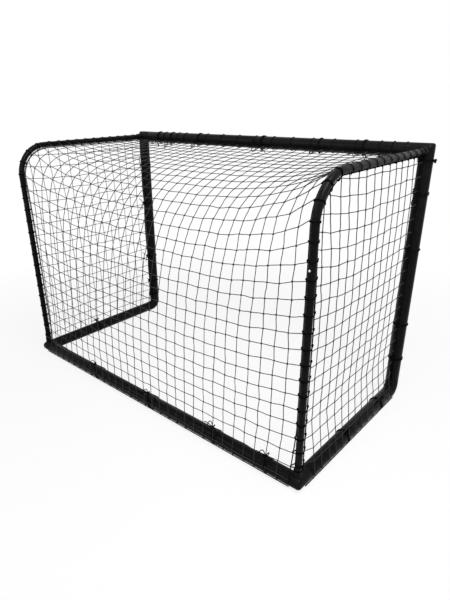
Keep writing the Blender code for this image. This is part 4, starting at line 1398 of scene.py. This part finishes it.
def lacing_line(label, sign, roof, sizes, net):
    """The lacing that binds two nets' border cords to a thin tube: a spiral, then hitches from the bend."""
    side = SideSheet(label, sign, sizes, net)
    x = sign * HALF_WIDTH
    hub = Vector((x, REAR - sizes.bend_radius, TOP_Z - sizes.bend_radius))
    start = Vector((x, FRONT + COLLAR_REACH + LACING_START, TOP_Z))
    end = Vector((x, REAR, side.low + LACING_END))
    axis = Route([start] + quarter_arc(hub, Z, Y, sizes.bend_radius, AXIS_BEND_STEPS) + [end])
    edge = [roof.point((sign + 1) / 2, step / ROOF_CORD_STEPS) for step in range(ROOF_CORD_STEPS + 1)]
    roof_cord = [Vector((x, point.y, point.z)) for point in edge]
    side_cord = [Vector((x, side.front + (side.hub.y - side.front) * step / SIDE_CORD_STEPS, side.top))
                 for step in range(SIDE_CORD_STEPS)] + side.bend_line(SIDE_BEND_STEPS)
    for step in range(1, round(SIDE_CORD_DROP / SIDE_CORD_PITCH) + 1):
        z = side.hub.z - step * SIDE_CORD_PITCH
        side_cord.append(Vector((x, side.rear_at(z), z)))
    roof_end = (hub.y - start.y) / axis.marks[-1]
    # Between hitches the lacing lies on the tube's inner side, towards the roof net
    base = math.pi * (0.25 if sign < 0 else 0.75)
    steps = round((hub.y - start.y) / net.lacing_pitch) * TURN_STEPS
    stations = [(roof_end * step / steps, base + 2 * math.pi * step / TURN_STEPS)
                for step in range(steps + 1)]
    hitches = round((1 - roof_end) * axis.marks[-1] / net.mesh_along)
    spots = [roof_end + (1 - roof_end) * (hitch + FIRST_HITCH) / hitches for hitch in range(hitches)]
    stations += hitched(spots, HITCH_TURNS, net.lacing * HITCH_RISE / axis.marks[-1], base)
    line = []
    for share, turned in stations:
        share = min(max(share, 0.0), 1.0)
        centre = axis.at(share)
        ahead, behind = axis.at(min(share + DIRECTION_REACH, 1)), axis.at(max(share - DIRECTION_REACH, 0))
        along = (ahead - behind).normalized()
        inward = Vector((0, along.z, -along.y))
        rounds = [(0.0, 0.0, STAY_RADIUS)]
        for cord, away in ((roof_cord, HALF_WIDTH - roof.edge_x), (side_cord, 0.0)):
            off = stand_off(cord, centre, along, inward)
            if off is not None:
                rounds.append((-sign * away, off, net.cord / 2))
        line.append(centre + Lashing(X, inward, rounds, net.lacing).point(turned))
    return line


def crossbar_lacing_line(roof, net):
    """The lacing that binds the roof net's border cord to the crossbar."""
    chance = random.Random(net.seed + LACING_SEED)
    end = HALF_WIDTH - CORNER_ARM
    spots, x = [], -end + net.mesh_across * CROSSBAR_FIRST
    while x < end:
        spots.append(x)
        x += net.mesh_across * chance.choice(CROSSBAR_MESHES)
    line = []
    for x, turned in hitched(spots, 1, net.lacing * chance.uniform(*CROSSBAR_RISE), 0.0):
        centre = Vector((x, FRONT, TOP_Z))
        cord = roof.point((x / roof.edge_x + 1) / 2, 0.0) - Vector((0, FRONT, TOP_Z))
        rounds = [(0.0, 0.0, BAR_RADIUS), (cord.y, cord.z, net.cord / 2)]
        line.append(centre + Lashing(Y, Z, rounds, net.lacing).point(turned + HEAD_ANGLE))
    return line


class GOAL_OT_lacing(bpy.types.Operator):
    """Laces the nets' border cords to the thin tubes and to the crossbar"""
    bl_idname = "goal.lacing"
    bl_label = "Lacing"

    def execute(self, context):
        sizes, net = context.scene.goal_sizes, context.scene.goal_net
        roof = Hammock(sizes, net)
        for label, sign in SIDES:
            line = lacing_line(label, sign, roof, sizes, net)
            cord_piece(f"lacing_{label}", [line], net.lacing, "lacing_cord")
        cord_piece("lacing_crossbar", [crossbar_lacing_line(roof, net)], net.lacing, "lacing_cord")
        return {"FINISHED"}


# A tie's knot is a full trefoil, this many diameters of its cord in size
OVERHAND_STEPS = 36
OVERHAND_SIZE = 0.62
OVERHAND_LOOPS, OVERHAND_DEPTH = 2.0, 1.0
# The knot sits this many diameters outside what the tie holds
KNOT_OUT = 1.6
# The tie's two turns: points in each, and the diameters between them and in their slant
TIE_STEPS = 36
TIE_GAP = 1.15
TIE_SLANT = 0.5
# A loose end's points, how far each step turns at random, sideways and as a share of that upwards, how far
# it droops, and the spread of its first direction
TAIL_STEPS = 8
TAIL_BEND = 0.0875
TAIL_RISE = 0.4
TAIL_DROOP = 0.08
TAIL_SPREAD = 0.4
# A bow's points, its half width and droop as shares of its length
BOW_STEPS = 16
BOW_WIDTH = 0.32
BOW_DROOP = 0.25
# How long loose ends and bows are, as shares of a tie's usual end
TAIL_LENGTHS = (0.6, 1.2)
BOW_LENGTHS = (0.6, 0.85)


def overhand(centre, across, up, size):
    """The points of an overhand knot."""
    out = across.cross(up)
    points = []
    for step in range(OVERHAND_STEPS + 1):
        x, y, z = trefoil(2 * math.pi * step / OVERHAND_STEPS, OVERHAND_LOOPS, OVERHAND_DEPTH)
        points.append(centre + (across * x + up * y + out * z) * size)
    return points


def tail(start, way, length, chance):
    """A loose end of cord that leaves a knot one way and then hangs."""
    points = [start]
    bend = Vector((chance.uniform(-1, 1), chance.uniform(-1, 1), chance.uniform(-TAIL_RISE, TAIL_RISE)))
    bend *= TAIL_BEND
    for _ in range(TAIL_STEPS):
        way = (way + bend - Z * TAIL_DROOP).normalized()
        points.append(points[-1] + way * length / TAIL_STEPS)
    return points


def bow(start, way, side, length):
    """A loop of a bow, out along one way and back."""
    points = []
    for step in range(BOW_STEPS + 1):
        t = math.pi * step / BOW_STEPS
        points.append(start + way * (length * math.sin(t)) + side * (length * BOW_WIDTH * math.sin(2 * t))
                      - Z * (length * BOW_DROOP * math.sin(t) ** 2))
    return points


def tie_lines(centre, toward, turn, held, held_radius, net, chance, bows, ends=0.05, lift=0.25):
    """A cord's two turns round a bar and what it holds at a stand-off, its knot and its loose ends.

    Toward and turn span the turns' plane, with what is held in the direction toward. Lift is how far the
    loose ends rise from the bar's direction.
    """
    axis = toward.cross(turn)
    lashing = Lashing(toward, turn, [(0.0, 0.0, BAR_RADIUS), (held, 0.0, held_radius)], net.tie)
    gap = net.tie * TIE_GAP
    slant = chance.uniform(-TIE_SLANT, TIE_SLANT) * gap
    loop = []
    for step in range(2 * TIE_STEPS + 1):
        turned = step / TIE_STEPS
        loop.append(centre + lashing.point(2 * math.pi * turned)
                    + axis * (gap * (turned - 1) + slant * math.sin(math.pi * turned)))
    for point in loop:
        # The bar presses the cord flat against the floor
        point.z = max(point.z, net.tie / 2)
    seat = centre + toward * (held + held_radius + net.tie * KNOT_OUT)
    lines = [loop, overhand(seat, axis, turn, net.tie * OVERHAND_SIZE)]
    for way in (1, -1):
        out = (axis * way + toward * lift + turn * chance.uniform(-TAIL_SPREAD, TAIL_SPREAD)).normalized()
        if bows:
            above = (out + toward * lift).normalized()
            lines.append(bow(seat, above, turn, chance.uniform(*BOW_LENGTHS) * ends))
        lines.append(tail(seat, out, chance.uniform(*TAIL_LENGTHS) * ends, chance))
    return lines


# Ties along the lower bars and the posts that the solids leave out, by their distance from the -X end or
# the rear, and from the top
REAR_BAR_TIES = (0.133, 0.410, 0.820, 1.245)
SIDE_BAR_TIES = {"left": (0.360, 0.684), "right": (0.357,)}
RIGHT_POST_LOW_TIE = 1.049
# A lower tie holds the net this far out from the bar's axis and this far up
TENT_OUT = 0.024
TENT_UP = 0.058
# How long the rear bar's, the side bars' and the top corner's loose ends are, and how far the first two rise
REAR_ENDS, REAR_LIFT = 0.045, 0.7
SIDE_ENDS, SIDE_LIFT = 0.030, 0.5
CORNER_ENDS = 0.008


def lower_tie_lines(net, chance):
    """The ties that the solids leave out."""
    reach = math.hypot(TENT_OUT, TENT_UP)
    lines = []
    for distance in REAR_BAR_TIES:
        toward = (Y * TENT_OUT + Z * TENT_UP) / reach
        lines += tie_lines(Vector((distance - HALF_WIDTH, REAR, BASE_Z)), toward, X.cross(toward), reach,
                           net.twine, net, chance, True, REAR_ENDS, REAR_LIFT)
    for label, sign in SIDES:
        for distance in SIDE_BAR_TIES[label]:
            toward = (X * sign * TENT_OUT + Z * TENT_UP) / reach
            lines += tie_lines(Vector((sign * HALF_WIDTH, REAR - distance, BASE_Z)), toward,
                               Y.cross(toward), BAR_RADIUS, net.twine, net, chance, True, SIDE_ENDS,
                               SIDE_LIFT)
    lines += tie_lines(Vector((HALF_WIDTH, FRONT, TOP_Z - RIGHT_POST_LOW_TIE)), Y, X,
                       BAR_RADIUS + net.cord / 2 + SEAT, net.cord / 2, net, chance, False)
    lines += tie_lines(Vector((-HALF_WIDTH, FRONT, TOP_Z - BAR_RADIUS - net.tie * 2)), -X, Y,
                       BAR_RADIUS, net.tie / 2, net, chance, False, CORNER_ENDS)
    return lines


class GOAL_OT_ties(bpy.types.Operator):
    """Ties the nets to the thick tubes with short knotted cords"""
    bl_idname = "goal.ties"
    bl_label = "Ties"

    def execute(self, context):
        net = context.scene.goal_net
        chance = random.Random(net.seed + TIE_SEED)
        held = BAR_RADIUS + net.cord / 2 + SEAT
        head_way = Vector((0, math.cos(HEAD_ANGLE), math.sin(HEAD_ANGLE)))
        ties = []
        for number in range(1, CROSSBAR_TIES + 1):
            centre = Vector((middle(f"crossbar_tie_{number}", 0), FRONT, TOP_Z))
            ties.append((f"crossbar_tie_{number}", centre, head_way, X.cross(head_way), True))
        for label, sign in SIDES:
            for number in range(1, POST_TIES + 1):
                name = f"post_tie_{label}_{number}"
                centre = Vector((sign * HALF_WIDTH, FRONT, middle(name, 2)))
                # Only the left post's two upper ties end in a bow
                ties.append((name, centre, Y, X, label == "left" and number < 3))
        for name, centre, toward, turn, bows in ties:
            lines = tie_lines(centre, toward, turn, held, net.cord / 2, net, chance, bows)
            cord_piece(name + "_cord", lines, net.tie, "lacing_cord", name)
        cord_piece("lower_ties", lower_tie_lines(net, chance), net.tie, "lacing_cord")
        return {"FINISHED"}


# The stage

# The floor reaches this far from the origin each way
FLOOR_REACH = 40.0
# The floor keeps the goal's shadow close by, where it is this share of white, and is all white further out
FLOOR_WHITE = 0.84
FADE_START, FADE_END = 0.9, 2.6
# How strongly the white world lights the goal; the eye sees it at full strength
WORLD_LIGHT = 0.15
# The camera's place, its view and upright directions and its frame's shift, fitted to the tubes' slants
CAMERA_PLACE = (-1.61534, 1.71305, 1.37558)
CAMERA_VIEW = (0.61757, -0.67592, -0.40216)
CAMERA_UP = (0.2578, -0.30911, 0.91542)
CAMERA_SHIFT_X, CAMERA_SHIFT_Y = 0.0253, 0.02264
# Softboxes: their places, what they point at, their sizes, and their power as a share of the key or the fill
LAMPS = (
    ("overhead", (-1.5, 0.7, 3.2), (-0.5, 0.2, 0.5), (1.4, 1.6), "key_power", 1.0),
    ("left_box", (-3.0, 0.4, 1.6), (-0.5, 0.2, 0.6), (0.5, 2.4), "fill_power", 0.2),
    ("rear_box", (-0.7, 3.2, 1.9), (-0.2, 0.3, 0.6), (1.9, 0.5), "fill_power", 0.4),
    ("far_box", (4.6, 6.8, 5.8), (-0.3, 0.2, 0.6), (2.0, 0.4), "fill_power", 4.0),
    ("front_box", (-1.75, -2.9, 2.0), (-0.9, 0.0, 1.1), (1.2, 1.4), "fill_power", 0.14),
)


class StageSettings(bpy.types.PropertyGroup):
    """The camera's lens and the lamps' power."""
    focal_length: FloatProperty(
        name="Focal length", description="Focal length of the camera", default=29.242, unit="CAMERA")
    key_power: FloatProperty(
        name="Key light", description="Power of the overhead softbox", default=95.0, unit="POWER")
    fill_power: FloatProperty(
        name="Fill light", description="Power that the other softboxes take their shares of", default=30.0,
        unit="POWER")


def white_to_the_eye(tree):
    """A factor of 1 where the camera sees the surface, in a mirror or through glass too, and 0 elsewhere."""
    path = add_node(tree, "ShaderNodeLightPath")
    mirrored = add_node(tree, "ShaderNodeMath", {
        0: path.outputs["Is Glossy Ray"], 1: path.outputs["Is Transmission Ray"]}, operation="MAXIMUM")
    return add_node(tree, "ShaderNodeMath", {
        0: path.outputs["Is Camera Ray"], 1: mirrored.outputs[0]}, operation="MAXIMUM").outputs[0]


def matt_floor(finishes):
    """Studio floor of matt pale paint, which fades to white away from the goal."""
    material, tree, shader = new_material("studio_floor")
    fill_inputs(tree, shader, {"Base Color": (*finishes.floor, 1.0), "Roughness": 0.9})
    white = add_node(tree, "ShaderNodeEmission", {"Color": (1.0, 1.0, 1.0, 1.0), "Strength": 1.0})
    place = add_node(tree, "ShaderNodeTexCoord").outputs["Object"]
    distance = add_node(tree, "ShaderNodeVectorMath", {0: place}, operation="LENGTH")
    fade = add_node(tree, "ShaderNodeMapRange", {
        "Value": distance.outputs["Value"], "From Min": FADE_START, "From Max": FADE_END,
        "To Min": FLOOR_WHITE})
    share = add_node(tree, "ShaderNodeMath", {0: fade.outputs["Result"], 1: white_to_the_eye(tree)},
                     operation="MULTIPLY")
    mixed = add_node(tree, "ShaderNodeMixShader", {
        "Fac": share.outputs[0], 1: shader.outputs["BSDF"], 2: white.outputs["Emission"]})
    tree.links.new(mixed.outputs["Shader"], tree.nodes["Material Output"].inputs["Surface"])
    return material


def add_floor(finishes):
    """The floor, which isn't part of the goal."""
    builder = bmesh.new()
    bmesh.ops.create_grid(builder, x_segments=1, y_segments=1, size=FLOOR_REACH)
    mesh = mesh_from(builder)
    if mesh.polygons[0].normal.z < 0:
        mesh.flip_normals()
    add_piece("studio_floor", mesh, matt_floor(finishes))


def add_world(scene):
    """A white world that lights the goal a little."""
    scene.world = bpy.data.worlds.new("studio")
    scene.world.use_nodes = True
    tree = scene.world.node_tree
    strength = add_node(tree, "ShaderNodeMapRange", {"Value": white_to_the_eye(tree), "To Min": WORLD_LIGHT})
    fill_inputs(tree, tree.nodes["Background"], {
        "Color": (1.0, 1.0, 1.0, 1.0), "Strength": strength.outputs["Result"]})


def add_lamps(settings):
    """Soft rectangular lamps, each turned to what it lights."""
    for name, place, target, size, power, share in LAMPS:
        light = bpy.data.lights.new(name, "AREA")
        light.shape = "RECTANGLE"
        light.size, light.size_y = size
        light.energy = getattr(settings, power) * share
        turn = (Vector(target) - Vector(place)).to_track_quat("-Z", "Y")
        in_scene(name, light).matrix_world = Matrix.Translation(place) @ turn.to_matrix().to_4x4()


def add_camera(scene, settings):
    """The camera, at the photograph's viewing angle."""
    lens = bpy.data.cameras.new("photo_angle")
    lens.lens = settings.focal_length
    lens.sensor_width = 36.0
    lens.shift_x, lens.shift_y = CAMERA_SHIFT_X, CAMERA_SHIFT_Y
    lens.clip_end = 200.0
    back = -Vector(CAMERA_VIEW).normalized()
    right = Vector(CAMERA_UP).cross(back).normalized()
    turn = Matrix((right, back.cross(right), back)).transposed().to_4x4()
    scene.camera = in_scene("photo_angle", lens)
    scene.camera.matrix_world = Matrix.Translation(CAMERA_PLACE) @ turn


class GOAL_OT_stage(bpy.types.Operator):
    """Sets up the floor, the soft studio light and the camera"""
    bl_idname = "goal.stage"
    bl_label = "Stage"

    def execute(self, context):
        scene = context.scene
        add_floor(scene.goal_finishes)
        add_world(scene)
        add_lamps(scene.goal_stage)
        add_camera(scene, scene.goal_stage)
        scene.view_settings.view_transform = "Standard"
        return {"FINISHED"}


# The panel and the add-on's registration

OPERATORS = (
    GOAL_OT_thick_tubes,
    GOAL_OT_thin_tubes,
    GOAL_OT_fittings,
    GOAL_OT_snap_buttons,
    GOAL_OT_inner_steel,
    GOAL_OT_roof_and_back_net,
    GOAL_OT_side_nets,
    GOAL_OT_lacing,
    GOAL_OT_ties,
    GOAL_OT_stage,
)


class GOAL_PT_panel(bpy.types.Panel):
    """Lists the goal's pieces in the sidebar"""
    bl_idname = "GOAL_PT_panel"
    bl_label = "Football Goal"
    bl_space_type = "VIEW_3D"
    bl_region_type = "UI"
    bl_category = "Goal"

    def draw(self, context):
        for operator in OPERATORS:
            self.layout.operator(operator.bl_idname)


GROUPS = (("goal_sizes", FrameSizes), ("goal_net", NetSizes), ("goal_finishes", Finishes),
          ("goal_stage", StageSettings))


def register():
    """Registers the classes and gives the scene its settings."""
    for attribute, group in GROUPS:
        bpy.utils.register_class(group)
        setattr(bpy.types.Scene, attribute, PointerProperty(type=group))
    for operator in OPERATORS:
        bpy.utils.register_class(operator)
    bpy.utils.register_class(GOAL_PT_panel)


def unregister():
    """Takes back what register did."""
    bpy.utils.unregister_class(GOAL_PT_panel)
    for operator in reversed(OPERATORS):
        bpy.utils.unregister_class(operator)
    for attribute, group in reversed(GROUPS):
        delattr(bpy.types.Scene, attribute)
        bpy.utils.unregister_class(group)


def main():
    register()
    bpy.ops.goal.thick_tubes()
    bpy.ops.goal.thin_tubes()
    bpy.ops.goal.fittings()
    bpy.ops.goal.snap_buttons()
    bpy.ops.goal.inner_steel()
    bpy.ops.goal.roof_and_back_net()
    bpy.ops.goal.side_nets()
    bpy.ops.goal.lacing()
    bpy.ops.goal.ties()
    bpy.ops.goal.stage()


if __name__ == "__main__":
    main()
